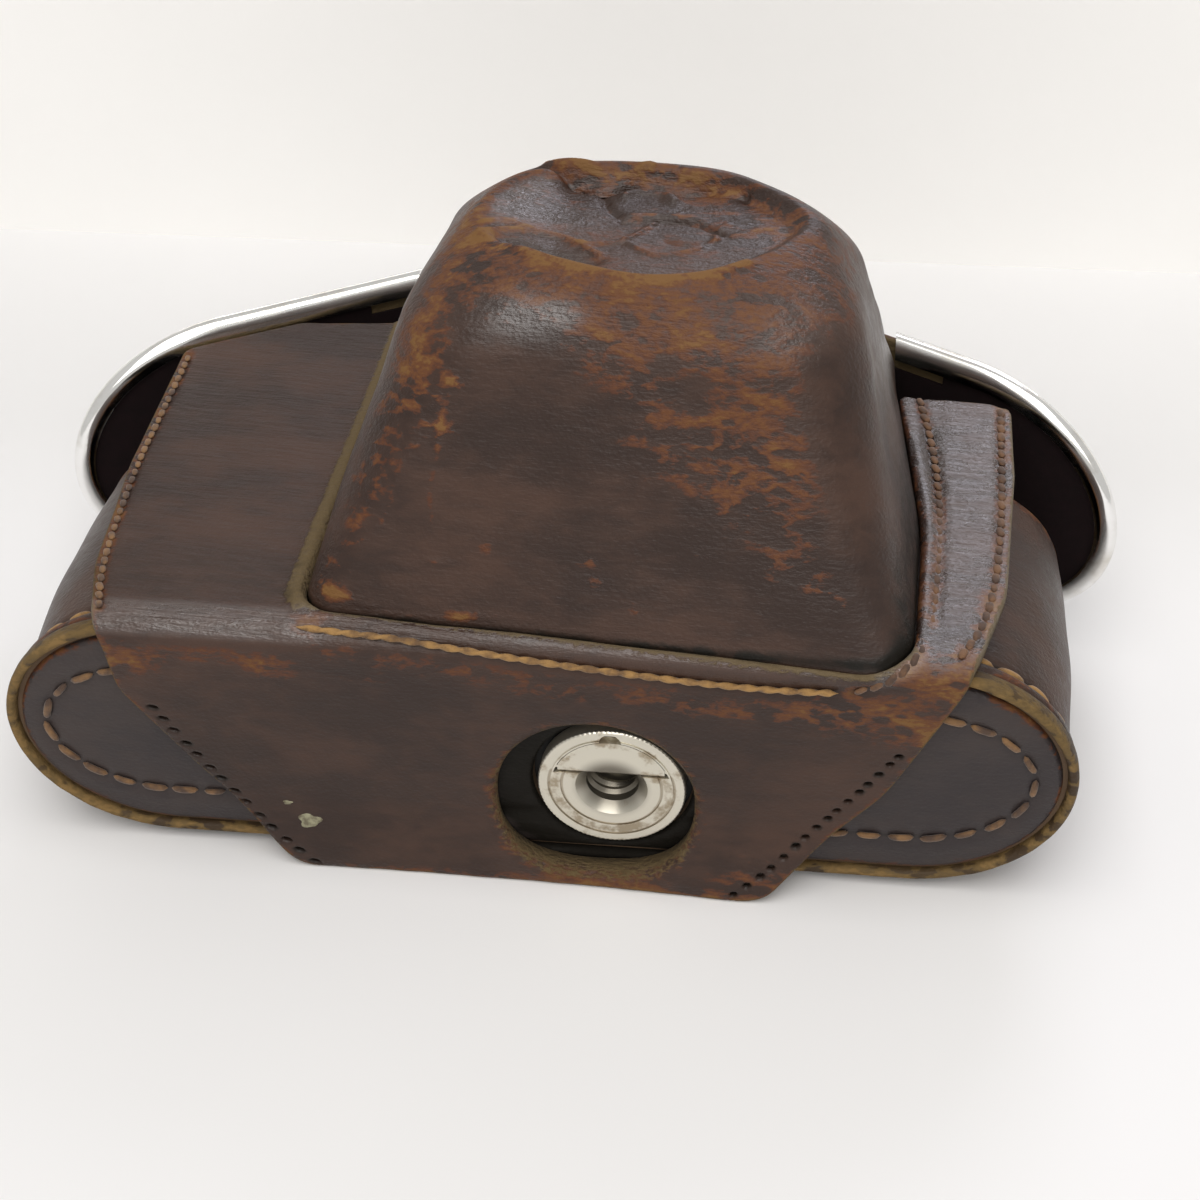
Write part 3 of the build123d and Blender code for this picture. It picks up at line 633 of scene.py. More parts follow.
dried_glue, glue_tree, glue_shader = new_material("dried glue", Roughness=0.55)
glue_dirt = ramp(glue_tree, noise(glue_tree, object_place(glue_tree), 900, 3), 0.35, 0.65)
glue_tint = mixed(glue_tree, glue_dirt, (0.115, 0.095, 0.055, 1), (0.30, 0.285, 0.18, 1))
glue_tree.links.new(glue_tint, glue_shader.inputs["Base Color"])
glue_drop("glue_drop_large", -34.0, -32.9, 1.7, 1.15)
glue_drop("glue_drop_small", -37.2, -29.9, 0.7, 0.35)


# Floors of the awl holes, and a block of painted shade
# The awl didn't go through: each hole has a floor, near-black as painted shade. A near-black block under
# the flap's free end stands in for the shade there.
floors, floor_faces = [], []
for hole in awl_holes:
    wider = hole.mean(0) + 1.12 * (hole - hole.mean(0))
    start = len(floors) * 2 * len(wider)
    floors.append(np.vstack([strap_surface(wider, lift + flare(*wider.T)) for lift in (-0.75, -1.2)]))
    floor_faces += [tuple(start + k for k in face) for face in capped_faces(2, len(wider))]
floors = np.vstack(floors)
awl_floors = add_mesh("awl_hole_floors", floors, floor_faces, {"dirt": np.full(len(floors), 0.7)})
shade_block_section = [(1.6, 0.9), (0.3, 0.1), (-0.9, -0.6), (-2.1, -1.1), (-2.0, -1.5), (-0.6, -1.1), (0.6, -0.5),
             (1.9, 0.3)]
shade_block_x = np.linspace(-14, 36, 26)
shade_block_places = np.array([(x, y, z) for x in shade_block_x for y, z in shade_block_section])
shade_block_faces = capped_faces(len(shade_block_x), len(shade_block_section))
# Near-black block: painted shade under the flap's free end.
shade_block = add_mesh("painted_shade_under_flap", shade_block_places, shade_block_faces, {"dirt": np.full(len(shade_block_places), 0.95)})
for piece in (awl_floors, shade_block):
    piece.data.materials.append(case_leather)
    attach(piece, "case")


# Stitching
# Waxed linen thread, golden where it is clean and nearly black where dirt has filled it, pulled
# into the leather at every hole.
def thread_material(name, light, dark, cover=0.5):
    """Twisted thread: light tops, dirt in patches and a fine fibre bump."""
    material, tree, shader = new_material(name, Roughness=0.7, Sheen_Weight=0.2)
    place = object_place(tree)
    dirt = ramp(tree, noise(tree, place, 300, 4, 0.6), cover - 0.14, cover + 0.14)
    tree.links.new(mixed(tree, dirt, dark, light), shader.inputs["Base Color"])
    fibre = noise(tree, place, 3600, 3, 0.6)
    bumped(tree, shader, fibre, 0.6, 0.00014)
    return material


golden_thread = thread_material("golden thread", (0.33, 0.18, 0.052, 1), (0.12, 0.060, 0.020, 1), 0.45)
tan_thread = thread_material("tan thread", (0.21, 0.108, 0.038, 1), (0.060, 0.030, 0.016, 1), 0.50)
rubbed_thread = thread_material("rubbed thread", (0.155, 0.072, 0.028, 1), (0.055, 0.027, 0.015, 1), 0.50)


def row_of_stitches(name, line, surface, pitch, length, radius, arch, slant=0.0, flat=1.0, rings=7, sides=8):
    """Stitches along a line on a surface: each is a closed spindle whose middle is arched over the
    leather and whose thin ends dip into it. Its width falls with the fourth power of the distance from
    its middle, and flat is its height over its width."""
    far = travelled(line)
    at = np.arange(pitch / 2, far[-1], pitch)
    middle = along_line(at, far, line)
    heading = unit(along_line(at + 0.2, far, line) - along_line(at - 0.2, far, line))
    draw = np.random.default_rng(len(middle))
    turned = slant + draw.uniform(-0.1, 0.1, len(middle))[:, None]
    heading = unit(heading + turned * np.column_stack([-heading[:, 1], heading[:, 0]]))
    centre = surface(middle, np.zeros(len(middle)))
    along = unit(surface(middle + 0.1 * heading, np.zeros(len(middle))) - centre)
    up = unit(surface(middle, np.ones(len(middle))) - centre)
    side = np.cross(along, up)
    t = np.linspace(-1, 1, rings)[None, :, None, None]
    angle = np.linspace(0, 2 * np.pi, sides, endpoint=False)[None, None, :, None]
    size = draw.uniform(0.86, 1.1, len(middle))[:, None, None, None]
    width = radius * np.sqrt(np.clip(1 - t**4, 0.02, 1)) * size
    rise = arch * (1 - t**2) - 0.4 * radius * flat
    spindles = (centre[:, None, None] + along[:, None, None] * t * length / 2 * size
                + up[:, None, None] * (rise + flat * width * np.sin(angle))
                + side[:, None, None] * width * np.cos(angle))
    one = capped_faces(rings, sides)
    faces = [tuple(i + k * rings * sides for i in face) for k in range(len(middle)) for face in one]
    return add_mesh(name, spindles.reshape(-1, 3), faces)


def twisted_cord(name, line, surface, radius, twist, sink):
    """Two-strand cord laid along a line on a surface: its round section has two lobes that turn once
    in every twist of length. Its ends taper into the leather."""
    ring_step, sides = 0.22, 16
    line = spread(line, ring_step, closed=False)
    centre = surface(line, np.zeros(len(line)))
    along = unit(np.gradient(centre, axis=0))
    up = unit(surface(line, np.ones(len(line))) - centre)
    side = np.cross(along, up)
    far = np.linspace(0, ring_step * len(line), len(line))[:, None]
    angle = np.linspace(0, 2 * np.pi, sides, endpoint=False)[None, :]
    end = np.clip(np.minimum(far, far[-1] - far) / 1.2, 0.12, 1)
    wide = radius * end * (1 + 0.26 * np.cos(2 * (angle - 2 * np.pi * far / twist)))
    rise = (sink + wide * np.sin(angle))[..., None]
    places = centre[:, None] + up[:, None] * rise + side[:, None] * (wide * np.cos(angle))[..., None]
    return add_mesh(name, places.reshape(-1, 3), capped_faces(len(line), sides))


def hinged(piece, thread):
    """Thread sewn in the strap: its material is set and its transform baked, as for the strap."""
    piece.data.materials.append(thread)
    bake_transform(piece)


hinged(twisted_cord("seam_on_fold", fold_seam, strap_surface, 0.44, 5.6, 0.02), golden_thread)
for name, line, thread, size in (
        ("seam_left_edge", left_seam, tan_thread, (2.05, 1.9, 0.50, 0.05, 0.2, 0.5)),
        ("seam_by_nose", inner_seam, rubbed_thread, (2.3, 2.2, 0.56, 0.0, 0.25, 0.5)),
        ("seam_right_edge", outer_seam, rubbed_thread, (2.25, 2.15, 0.60, 0.02, 0.2, 0.5))):
    hinged(row_of_stitches(name, line, strap_surface, *size), thread)


# Lens nose
# Moulded in one from wet hide over a block: straight flanks, a rubbed rounded rim and a sunken tip
# that has creased and folded with age. Its root is sewn behind the panel's cut edge.
panel_front = fold_z + fold_radius
nose_height = panel_front + 46.1
nose_shoulder = panel_front + 35.7
nose_root = np.array([(-32.5, 4.6), (54.6, 3.5), (50.6, 79.67), (21.2, 96.7), (-30.0, 94.2)])
nose_tip = np.array([(-17.5, 21.0), (44.0, 19.5), (43.5, 43.0), (27.0, 58.0), (-11.0, 58.0)])
nose_root_radii = np.array([5.0, 8.0, 9.0, 9.0, 9.0])


def moved_in(corners, inset):
    """Corners of outlines with every side moved in by a distance."""
    before = unit(corners - np.roll(corners, 1, axis=-2))
    after = unit(np.roll(corners, -1, axis=-2) - corners)
    normal = np.stack([-before[..., 1] - after[..., 1], before[..., 0] + after[..., 0]], -1)
    share = np.asarray(inset)[..., None, None] / (1 + (before * after).sum(-1, keepdims=True))
    return corners + normal * share


def nose_share(depth):
    """Share of the way from the panel up to the nose's top, from 0 to 1."""
    return np.clip((depth - panel_front) / (nose_height - panel_front), 0, 1)


def nose_rings(depth, inset):
    """Outlines of the nose at some depths, each moved in by a distance. Points are close together on
    the front side and its corners, and wider apart on the sides that face away."""
    share = nose_share(depth)
    corners = nose_root + share[:, None, None] * (nose_tip - nose_root)
    arc, side = 36, 150
    radii = nose_root_radii + share[:, None] * (14.0 - nose_root_radii) - inset[:, None]
    rings = round_corners(moved_in(corners, inset), np.maximum(radii, 1.0), arc, side)
    every = [1, 1, 1, 4, 2, 5, 2, 5, 1, 3]
    counts = np.tile([arc, side], 5)
    starts = np.cumsum(counts) - counts
    kept = [np.arange(start, start + count, step) for start, count, step in zip(starts, counts, every)]
    return rings[:, np.concatenate(kept)]


def closed_curve(points):
    """Smooth closed curve through points: the line is carried on past both ends, and the part from the
    first point round to it again is kept."""
    line = smooth_line(points[-3:] + points + points[:3], 0.2)
    near_start = np.flatnonzero(np.linalg.norm(line - points[0], axis=1) < 0.3)
    return spread(line[near_start[0]:near_start[-1]], 0.3, closed=False)


dish_edge = closed_curve([
    (-9.8, 43.0), (-8.2, 35.5), (-1.5, 29.6), (6.5, 25.9), (15.5, 23.7), (24.0, 25.0), (32.0, 31.0),
    (37.5, 39.0), (33.5, 46.0), (24.5, 51.8), (14.0, 53.8), (3.5, 53.2), (-5.5, 49.8)])
dish_middle = np.array([14.5, 39.5])


def by_angle(curve, targets, middle, gap=0.0):
    """Places on a closed curve, or a gap inside it, in the directions of other places seen from a middle."""
    seen = curve - middle
    angle = np.arctan2(seen[:, 1], seen[:, 0])
    heading = np.arctan2(*(targets - middle).T[::-1])
    radius = np.interp(heading, angle, np.linalg.norm(seen, axis=1), period=2 * np.pi) - gap
    return middle + radius[:, None] * round_place(heading)


flank_depth = np.concatenate([[panel_front - 2.7], np.linspace(panel_front - 1.2, nose_shoulder, 84)])
flank = nose_rings(flank_depth, np.zeros(len(flank_depth)))
columns = flank.shape[1]
tip_ring = nose_rings(np.array([nose_height]), np.zeros(1))[0]
rim_line = by_angle(dish_edge, tip_ring, dish_middle)
rim_height = nose_height - 0.75 + 0.045 * (rim_line[:, 1] - 24) - 0.9 * step_between(0, -9, rim_line[:, 0])
turn = np.linspace(0, np.pi / 2, 26)[1:, None]
over_depth = nose_shoulder + (nose_height - nose_shoulder) * np.sin(turn[:, 0])
over = nose_rings(over_depth, np.zeros(len(turn)))
over = over + (rim_line - over) * (1 - np.cos(turn))[..., None] ** 0.9
over_height = nose_shoulder + (rim_height - nose_shoulder) * np.sin(turn)
dish_share = np.linspace(0, 0.985, 62)[1:, None]
dish = rim_line + (dish_middle - rim_line) * dish_share[..., None]
softness = 0.14 + 0.4 * step_between(2, -9, rim_line[:, 0])
dish_height = rim_height + (nose_height - 2.0 - rim_height) * step_between(0, 1, dish_share / softness)
plan = np.vstack([flank, over, dish])
height = np.vstack([np.repeat(flank_depth[:, None], columns, 1), over_height, dish_height])
outer = np.concatenate([plan, height[..., None]], -1).reshape(-1, 3)
dish_rows = step_between(0.0, 0.12, dish_share[:, 0])
in_dish = np.repeat(np.concatenate([np.zeros(len(flank) + len(over)), dish_rows]), columns)
outside = 1 - in_dish

# The root's lower edge follows the cut edge of the strap round the fold: each column of the flanks is
# carried over to the hole's outline in its direction from the middle, less and less up the nose.
ring_normal = np.roll(flank[1], -1, axis=0) - np.roll(flank[1], 1, axis=0)
ring_normal = unit(np.column_stack([ring_normal[:, 1], -ring_normal[:, 0]]))
facing = np.tile(step_between(0.35, 0.95, -ring_normal[:, 1]), len(plan))
root_middle = np.array([11.0, 44.0])
base = strap_surface(by_angle(spread(nose_cut, 0.3), flank[1] + [0, front], root_middle, 0.25), -0.1)
fade = 1 - nose_share(outer[:, 2])
on_front = step_between(82, 58, flank[1][:, 1])
carried = (base[:, :2] - flank[1]) * on_front[:, None]
outer[:, :2] += np.tile(carried, (len(plan), 1)) * (fade**1.7 * outside)[:, None]
sunk = np.minimum(base[:, 2] - panel_front, 0) * on_front
near_root = np.clip(1 - (outer[:, 2] - panel_front + 2.7) / 16, 0, 1) ** 2
outer[:, 2] += np.tile(sunk, len(plan)) * near_root * outside
outward = np.column_stack([np.tile(ring_normal, (len(plan), 1)), np.zeros(len(outer))])
sway = 0.50 * ripple(outer, 26, 11) + 0.14 * ripple(outer, 8, 12)
sway *= step_between(0.98, 0.75, fade) * outside * step_between(0, 4, rim_height.max() - outer[:, 2] + 2)
outer += outward * sway[:, None]

# Folds of the sunken tip, as (x, y) lines in its plane: width, height of the ridge, and wear.
tip_lines = [
    ([(-4, 53.2), (-0.7, 52.6), (3.3, 50.6), (6.5, 49.6), (11, 50.8)], 0.75, -1.5, 0.0),
    ([(-2, 55.2), (3, 53.4), (8, 52.2), (13.5, 53.2)], 0.8, 0.7, 0.5),
    ([(11, 50.8), (18, 50.0), (24, 50.6), (28, 48.8)], 0.8, -0.9, 0.0),
    ([(12.8, 52.6), (20, 51.8), (26.5, 49.2)], 0.7, 0.6, 0.55),
    ([(7.2, 48.2), (8.4, 44.6), (10.2, 42.6)], 0.8, -0.6, 0.0),
    ([(10.4, 48.0), (12.6, 49.6), (16.0, 49.4), (17.5, 47.2)], 1.0, 0.8, 0.1),
    ([(10.8, 41.2), (15.8, 41.9), (21.5, 41.0), (25.0, 38.6)], 0.55, -0.8, 0.0),
    ([(10.5, 42.6), (15.8, 43.2), (22.0, 42.2)], 0.6, 0.35, 0.5),
    ([(5.0, 34.0), (8.8, 34.6), (11.7, 35.6), (15.4, 40.6)], 0.5, 0.42, 0.24),
    ([(11.7, 35.6), (14.6, 33.0), (17.4, 32.0), (21.6, 33.8), (24.5, 36.6)], 0.5, 0.40, 0.24),
    ([(24.5, 36.6), (24.8, 40.0), (27.5, 42.0), (32, 43.0)], 0.5, 0.30, 0.22),
    ([(17.5, 36.0), (20.5, 34.9), (23.4, 36.0)], 0.7, -0.35, 0.0),
    ([(-7.5, 35.5), (-4.5, 36.4), (-0.4, 36.6), (4, 35.4), (8.6, 31.6)], 0.65, 0.55, 0.50),
    ([(-5.5, 32.8), (-1.0, 32.0), (3.6, 30.6), (8.0, 30.2)], 1.5, -0.9, -0.1),
    ([(-9.0, 35.2), (-5.2, 32.0), (0.0, 28.6), (7.0, 26.0), (15.2, 23.8), (23.5, 24.8), (29.5, 28.2)],
     0.95, 0.75, 0.75),
    ([(-8.5, 38.0), (-5.0, 38.6), (-2.0, 37.4)], 0.8, 0.45, 0.5),
    ([(27, 38), (30.5, 40), (34.5, 40.5)], 0.7, 0.3, 0.3),
]
near_tip = outer[:, 2] > nose_height - 5
tip_places = outer[near_tip, :2]
tip_wear = np.zeros(len(outer))
for line, width, ridge_height, ridge_wear in tip_lines:
    outer[near_tip, 2] += stroke(tip_places, line, width, ridge_height)
    tip_wear[near_tip] += stroke(tip_places, line, width * 1.1, ridge_wear)
outer[:, 2] += in_dish * 0.18 * ripple(outer, 10, 13)

# Cracks of the left edge and the worn places of the near flank, as (x, z) over the front.
crack_lines = [
    ([(-13.6, 81.5), (-12.0, 78.5), (-11.0, 75.0), (-11.4, 72.0), (-12.3, 69.7)], 0.45),
    ([(-16.4, 79.5), (-15.6, 76.5), (-16.2, 73.0), (-17.6, 70.5)], 0.45),
    ([(-14.9, 79.6), (-12.8, 80.4), (-10.4, 80.0)], 0.4),
    ([(-18.0, 75.0), (-16.0, 76.0), (-14.0, 74.6), (-12.4, 73.4)], 0.5),
    ([(-7.0, 80.6), (-8.4, 78.6), (-10.6, 77.4), (-11.8, 75.6)], 0.5),
    ([(-10.6, 76.2), (-8.8, 75.4)], 0.7),
    ([(-12.3, 69.7), (-9.0, 68.6), (-6.2, 66.4), (-3.4, 63.8)], 0.4),
    ([(-12.3, 69.7), (-12.3, 66.0), (-13.4, 61.5), (-13.2, 56.5)], 0.5),
    ([(-17.1, 71.8), (-19.2, 69.0), (-20.8, 65.5)], 0.45),
    ([(-20.5, 66.5), (-21.0, 62.0), (-23.0, 57.5), (-25.0, 54.0)], 0.5),
    ([(-30.5, 45.6), (-25.5, 45.4), (-19.5, 44.2), (-14.0, 43.9), (-9.5, 43.4)], 0.35),
    ([(-9.0, 44.6), (-4.0, 44.8)], 0.6),
    ([(-13.8, 51.4), (-9.6, 51.6)], 0.35),
]
left_edge = smooth_line([(-13.5, 86.5), (-16.0, 80), (-19.5, 71), (-23.0, 62), (-26.5, 53), (-29.5, 45)])
draw = np.random.default_rng(8)
for x, z in left_edge[3:-6:4]:
    half, slope = draw.uniform(1.0, 3.2), draw.uniform(-0.2, 0.45)
    x += draw.uniform(-0.5, 3.2)
    rung = [(x - half, z - slope * half), (x, z), (x + half, z + slope * half)]
    crack_lines.append((rung, draw.uniform(0.28, 0.42)))
for shift, first, last in ((1.5, 2, 22), (1.3, 30, 55), (3.6, 8, 34), (4.6, 44, 70)):
    beside = left_edge[first:last:6] + [shift, 0]
    crack_lines.append((beside + draw.normal(0, 0.25, beside.shape), 0.34))
front_places = outer[:, [0, 2]]
on_flank = facing * outside
cracks = np.zeros(len(outer))
for line, width in crack_lines:
    cracks = np.maximum(cracks, stroke(front_places, line, width, 1.0))
cracks *= on_flank > 0.2
band = bell(outer[:, 2] - 86.2 + 0.05 * outer[:, 0], 3.4)
nose_wear = on_flank * blobs(front_places, [
    (10, 82.5, 11, 2.8, 0.42), (24, 81.5, 10, 3.6, 0.32), (33, 76, 8, 5.0, 0.32), (36, 68.5, 7, 5.0, 0.42),
    (23, 74.5, 9, 4.0, 0.30), (13, 78.0, 8, 2.4, 0.30), (38.5, 61, 4, 6, 0.32), (30, 62, 6, 5, 0.26),
    (18, 69, 7, 4.5, 0.28), (27, 66.5, 7, 4.5, 0.30), (36, 55.5, 4, 4, 0.26), (41.8, 52.3, 1.9, 1.8, 0.80),
    (44.0, 50.5, 1.4, 1.0, 0.6), (-5.3, 53.9, 1.2, 0.8, 0.5), (9.0, 53.5, 1.6, 1.0, 0.55),
    (10.5, 50.8, 1.3, 1.0, 0.55), (16, 47.6, 1.2, 0.8, 0.45), (25.5, 56.0, 2.0, 1.2, 0.4),
    (34.5, 49, 1.4, 0.9, 0.4), (-28, 45.6, 3.0, 1.1, 0.95), (-12.3, 69.9, 1.7, 1.1, 0.9),
    (-9.8, 75.8, 1.4, 0.9, 0.8), (-9.2, 44.4, 2.0, 0.7, 0.7), (-15, 76, 3.4, 7, 0.34),
    (-20.5, 64, 2.4, 8, 0.28)])
below_rim = np.tile(rim_height, len(plan)) - outer[:, 2]
nose_wear += 0.30 * band * step_between(-22, -10, outer[:, 0]) + 0.34 * bell(below_rim, 2.2) * outside
nose_wear += 0.16 * step_between(62, 80, outer[:, 2]) * step_between(-6, -13, outer[:, 0]) * outside
by_left_edge = bell(distance_to(front_places, left_edge, closed=False), 2.2)
nose_wear += (0.18 + 0.16 * ripple(outer, 7, 18)) * by_left_edge * (facing > 0.05) * outside
cracks *= 0.55 + 0.45 * ripple(outer, 5, 17)
nose_wear = np.clip(nose_wear, 0, 0.80) * outside + 0.42 * cracks + tip_wear
nose_wear *= 1 - 0.5 * bell(outer[:, 0] - 50, 5)
dish_wear = blobs(outer[:, :2], [(35, 40, 5, 9, 0.34), (28, 47, 8, 4, 0.22), (3, 52, 8, 2.5, 0.22)])
nose_wear += in_dish * (0.20 + dish_wear)
nose_wear -= 0.35 * on_flank * blobs(front_places, [
    (19, 79.6, 2.8, 2.0, 1), (24, 77.2, 2.6, 1.8, 1), (5, 83.6, 2.4, 1.5, 1), (14, 84.2, 2.0, 1.3, 1),
    (41, 72, 3, 7, 1), (-3.5, 78.2, 7, 3.0, 1.2)])
nose_wear = np.clip(nose_wear, 0, 0.92)
outer += outward * (0.22 * cracks - 0.10 * (np.abs(cracks - 0.45) < 0.18))[:, None]
# Painted shade: near-black on the lower right flank, in the gap at the root and in the sunken folds of the
# tip.
nose_painted_shade = 0.62 * step_between(49, 53.5, outer[:, 0]) * step_between(80, 56, outer[:, 2])
nose_painted_shade += 0.75 * bell(outer[:, 2] - 42.6, 1.4) + in_dish * 0.5 * np.clip(-tip_wear * 4, 0, 1)
nose_polish = in_dish * (0.25 + blobs(outer[:, :2], [(-6, 45, 6, 7, 0.65), (2, 41, 5, 3, 0.35)]))
nose_polish += 0.18 * bell(outer[:, 2] - 83, 5) * outside + 0.2 * bell(outer[:, 0] - 50, 4)
nose_polish += 0.7 * blobs(front_places, [(-1, 84, 5, 2.5, 1), (4.7, 84.5, 3, 1.5, 1), (37, 84, 5, 4, 0.6)])

# The inside is a plain offset of the outside, closed under the dish and joined to it at the root.
inner_top = nose_height - 3.2
inner_depth = np.array([inner_top, inner_top, nose_shoulder - 2, panel_front, panel_front - 2.7])
inner = nose_rings(inner_depth, np.array([6.0, 6.0, 1.8, 1.8, 1.8]))
inner[0] = dish_middle + (inner[0] - dish_middle) * 0.03
inner_height = np.broadcast_to(inner_depth[:, None, None], (*inner.shape[:2], 1))
inner = np.concatenate([inner, inner_height], -1).reshape(-1, 3)
rows = len(plan) + len(inner_depth)
last = (len(plan) - 1) * columns
faces = [tuple(face) for face in grid_faces(rows, columns, closed_columns=True)
         if face[0] // columns * columns != last]
faces += [tuple(range(first, first + columns)) for first in (last, last + columns)]
root = (rows - 1) * columns
faces += [(k, (k + 1) % columns, root + (k + 1) % columns, root + k) for k in range(columns)]
nose_values = {"wear": (nose_wear, 0), "edge": (0, 1), "crease": (0.22 + 0.4 * band, 0),
               "dirt": (nose_painted_shade, 0), "polish": (np.clip(nose_polish, 0, 1), 0)}
nose = add_mesh("lens_nose", np.vstack([outer, inner]), faces, two_sided(nose_values, len(outer), len(inner)))
nose.data.materials.append(case_leather)
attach(nose, "cover")
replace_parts(nose, "nose")


# Bottom rim
# A strip of hide set on edge round the bottom, its cut edge outwards, rubbed round and dark olive.
case_length, case_depth, case_end = 160.0, 41.4, 24.0


def oval_line(inset, half_length=case_length / 2, back=0.0, face=case_depth, end=case_end, count=420):
    """Plan outline, as (x, z) points: straight front and back, elliptic ends, moved in by a distance.
    It starts in the middle of the front and runs to the right."""
    wide, half = end - inset, (face - back) / 2 - inset
    straight = half_length - end
    middle = (face + back) / 2
    turn = np.linspace(np.pi / 2, -np.pi / 2, 160)
    right = np.column_stack([straight + wide * np.cos(turn), middle + half * np.sin(turn)])
    left = np.column_stack([-straight - wide * np.cos(turn[::-1]), middle + half * np.sin(turn[::-1])])
    line = np.vstack([[(0, middle + half)], right, left])
    return spread(line, 1.0) if count is None else even(line, count)


def even(line, count):
    """A closed line as a given number of evenly spread points."""
    whole = np.vstack([line, line[:1]])
    far = travelled(whole)
    return along_line(np.linspace(0, far[-1], count, endpoint=False), far, whole)


def ring_of(profile, count=420, **plan):
    """Ring carried round the plan: at each (inset, y) of a profile, the outline moved in by the inset."""
    lines = np.array([oval_line(inset, count=count, **plan) for inset, y in profile])
    heights = np.broadcast_to(np.array([y for inset, y in profile])[:, None, None], (*lines.shape[:2], 1))
    return np.concatenate([lines[..., :1], heights, lines[..., 1:]], -1)


welt_profile = [(0.25, 3.15), (0.0, 2.4), (0.0, 1.2), (0.12, 0.55), (0.42, 0.12), (0.8, 0.0), (1.2, 0.14),
                (1.48, 0.6), (1.6, 1.3), (1.6, 2.4), (1.3, 3.15)]
welt = ring_of(welt_profile)
welt_flat = welt.reshape(-1, 3)
welt_flat[:, 1] += 0.10 * ripple(welt_flat, 3.0, 21) * (welt_flat[:, 1] < 1.5)

# Under the fold its front corner is drawn in, to a quarter circle that leaves room for the strap.
corner_radius = 1.65
under_fold = step_between(66.5, 64.5, np.abs(welt_flat[:, 0]))
drop = np.stack([welt_flat[:, 1] - fold_y, welt_flat[:, 2] - fold_z], -1)
reach = np.linalg.norm(np.maximum(drop * [-1, 1], 0), axis=-1)
corner = (drop[:, 0] < 0) & (drop[:, 1] > 0) & (reach > corner_radius)
pull = np.where(corner, 1 - under_fold * (1 - corner_radius / np.maximum(reach, 1e-6)), 1)
welt_flat[:, 1] = fold_y + drop[:, 0] * pull
welt_flat[:, 2] = fold_z + drop[:, 1] * pull
welt_flat[:, 1] += under_fold * np.clip(0.25 - welt_flat[:, 1], 0, None)
raw_edge = hide_material("raw welt", Glaze=(0.046, 0.027, 0.012, 1), Thin_glaze=(0.088, 0.055, 0.021, 1),
                         Brown=(0.115, 0.072, 0.025, 1), Rust=(0.145, 0.092, 0.033, 1),
                         Ochre=(0.21, 0.13, 0.048, 1), Gloss=0.62)
welt_wear = 0.25 + 0.45 * step_between(1.6, 0.3, welt_flat[:, 1])
# Painted shade: near-black where the rim shows through the flap's opening, by the screw.
welt_painted_shade = 0.95 * step_between(20, 15, np.abs(welt_flat[:, 0] - 10)) * step_between(20, 10, welt_flat[:, 2])
rim_faces = grid_faces(*welt.shape[:2], True, True)
rim = add_mesh("bottom_rim", welt_flat, rim_faces, {"wear": welt_wear, "dirt": welt_painted_shade})
rim.data.materials.append(raw_edge)
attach(rim, "case")
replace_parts(rim, "rim_welt")


# Bottom plate
# Hide glued on a fibre board and sewn through it all round in a shallow groove.
plate_face, plate_thick = 0.6, 1.0
recess_radius = 12.0


def plate_surface(places, lift):
    """Place on the bottom plate, as (x, z), raised outwards by a height."""
    return np.column_stack([places[:, 0], plate_face - lift, places[:, 1]])


screw_middle = np.array([screw_x, screw_z])
recess = screw_middle + recess_radius * round_place(np.linspace(0, 2 * np.pi, 90, endpoint=False))
plate_cut = cut_sheet([oval_line(2.3, count=None), recess], 0.9)
plate_seam = oval_line(6.3, count=600, back=2.3, face=39.1)
plate_places = plate_cut["places"]
seam_far = distance_to(plate_places, plate_seam)
plate_border = inside(plate_places, plate_seam)
plate_lift = -rounded_rim(plate_cut["depth"], 0.9) - 0.42 * bell(seam_far, 1.0)
plate_lift += 0.22 * ~plate_border * np.sin(np.pi * np.clip(seam_far / 4.2, 0, 1))
plate_lift += 0.10 * ripple(plate_places, 18, 31)
plate_wear = 0.42 * bell(plate_cut["depth"], 0.5) + 0.10 * ~plate_border
screw_far = np.linalg.norm(plate_places - screw_middle, axis=1)
# Painted shade: near-black round the screw's recess, where the plate shows through the flap's opening, and
# along the seam's groove.
plate_painted_shade = 0.9 * step_between(22, 16, screw_far) + 0.45 * bell(seam_far, 0.9)
plate_values = {"wear": (plate_wear, 0), "crease": (0.12, 0), "edge": (0, 1), "dirt": (plate_painted_shade, 0)}
plate = leather_sheet("bottom_hide", plate_cut, plate_surface, plate_thick, plate_lift, plate_values)
plate.data.materials.append(hide_material(
    "bottom leather", Glaze=(0.031, 0.024, 0.0245, 1), Thin_glaze=(0.048, 0.036, 0.033, 1), Gloss=0.46))
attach(plate, "case")
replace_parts(plate, "bottom_plate")
behind = np.argmin(np.abs(plate_seam[:, 0] + 14) + 100 * (plate_seam[:, 1] > 15))
sewn = np.roll(plate_seam, -behind, axis=0)
sewn = sewn[:len(sewn) - np.argmax((sewn[::-1, 0] > 34))]
seam = row_of_stitches("seam_bottom", sewn, plate_surface, 4.75, 3.9, 0.58, 0.25, 0.04, 0.75, 9)
seam.data.materials.append(tan_thread)
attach(seam, "case")


# Wall of the case
# Moulded hide round the camera: a rounded lip over the rim, a sewn groove above it, and higher at the
# back. The lens's opening is cut in the front, behind the panel.
wall_top, wall_thick, wall_inset = 50.3, 1.7, 1.3
roof_cap, ridge_height, ridge_x, ridge_slope = 98.5, 111.3, -3.0, 0.58


def edging_line(x):
    """Height of the middle of the lid's edging over a place along x: two slopes from a ridge."""
    return ridge_height - ridge_slope * np.abs(x - ridge_x)


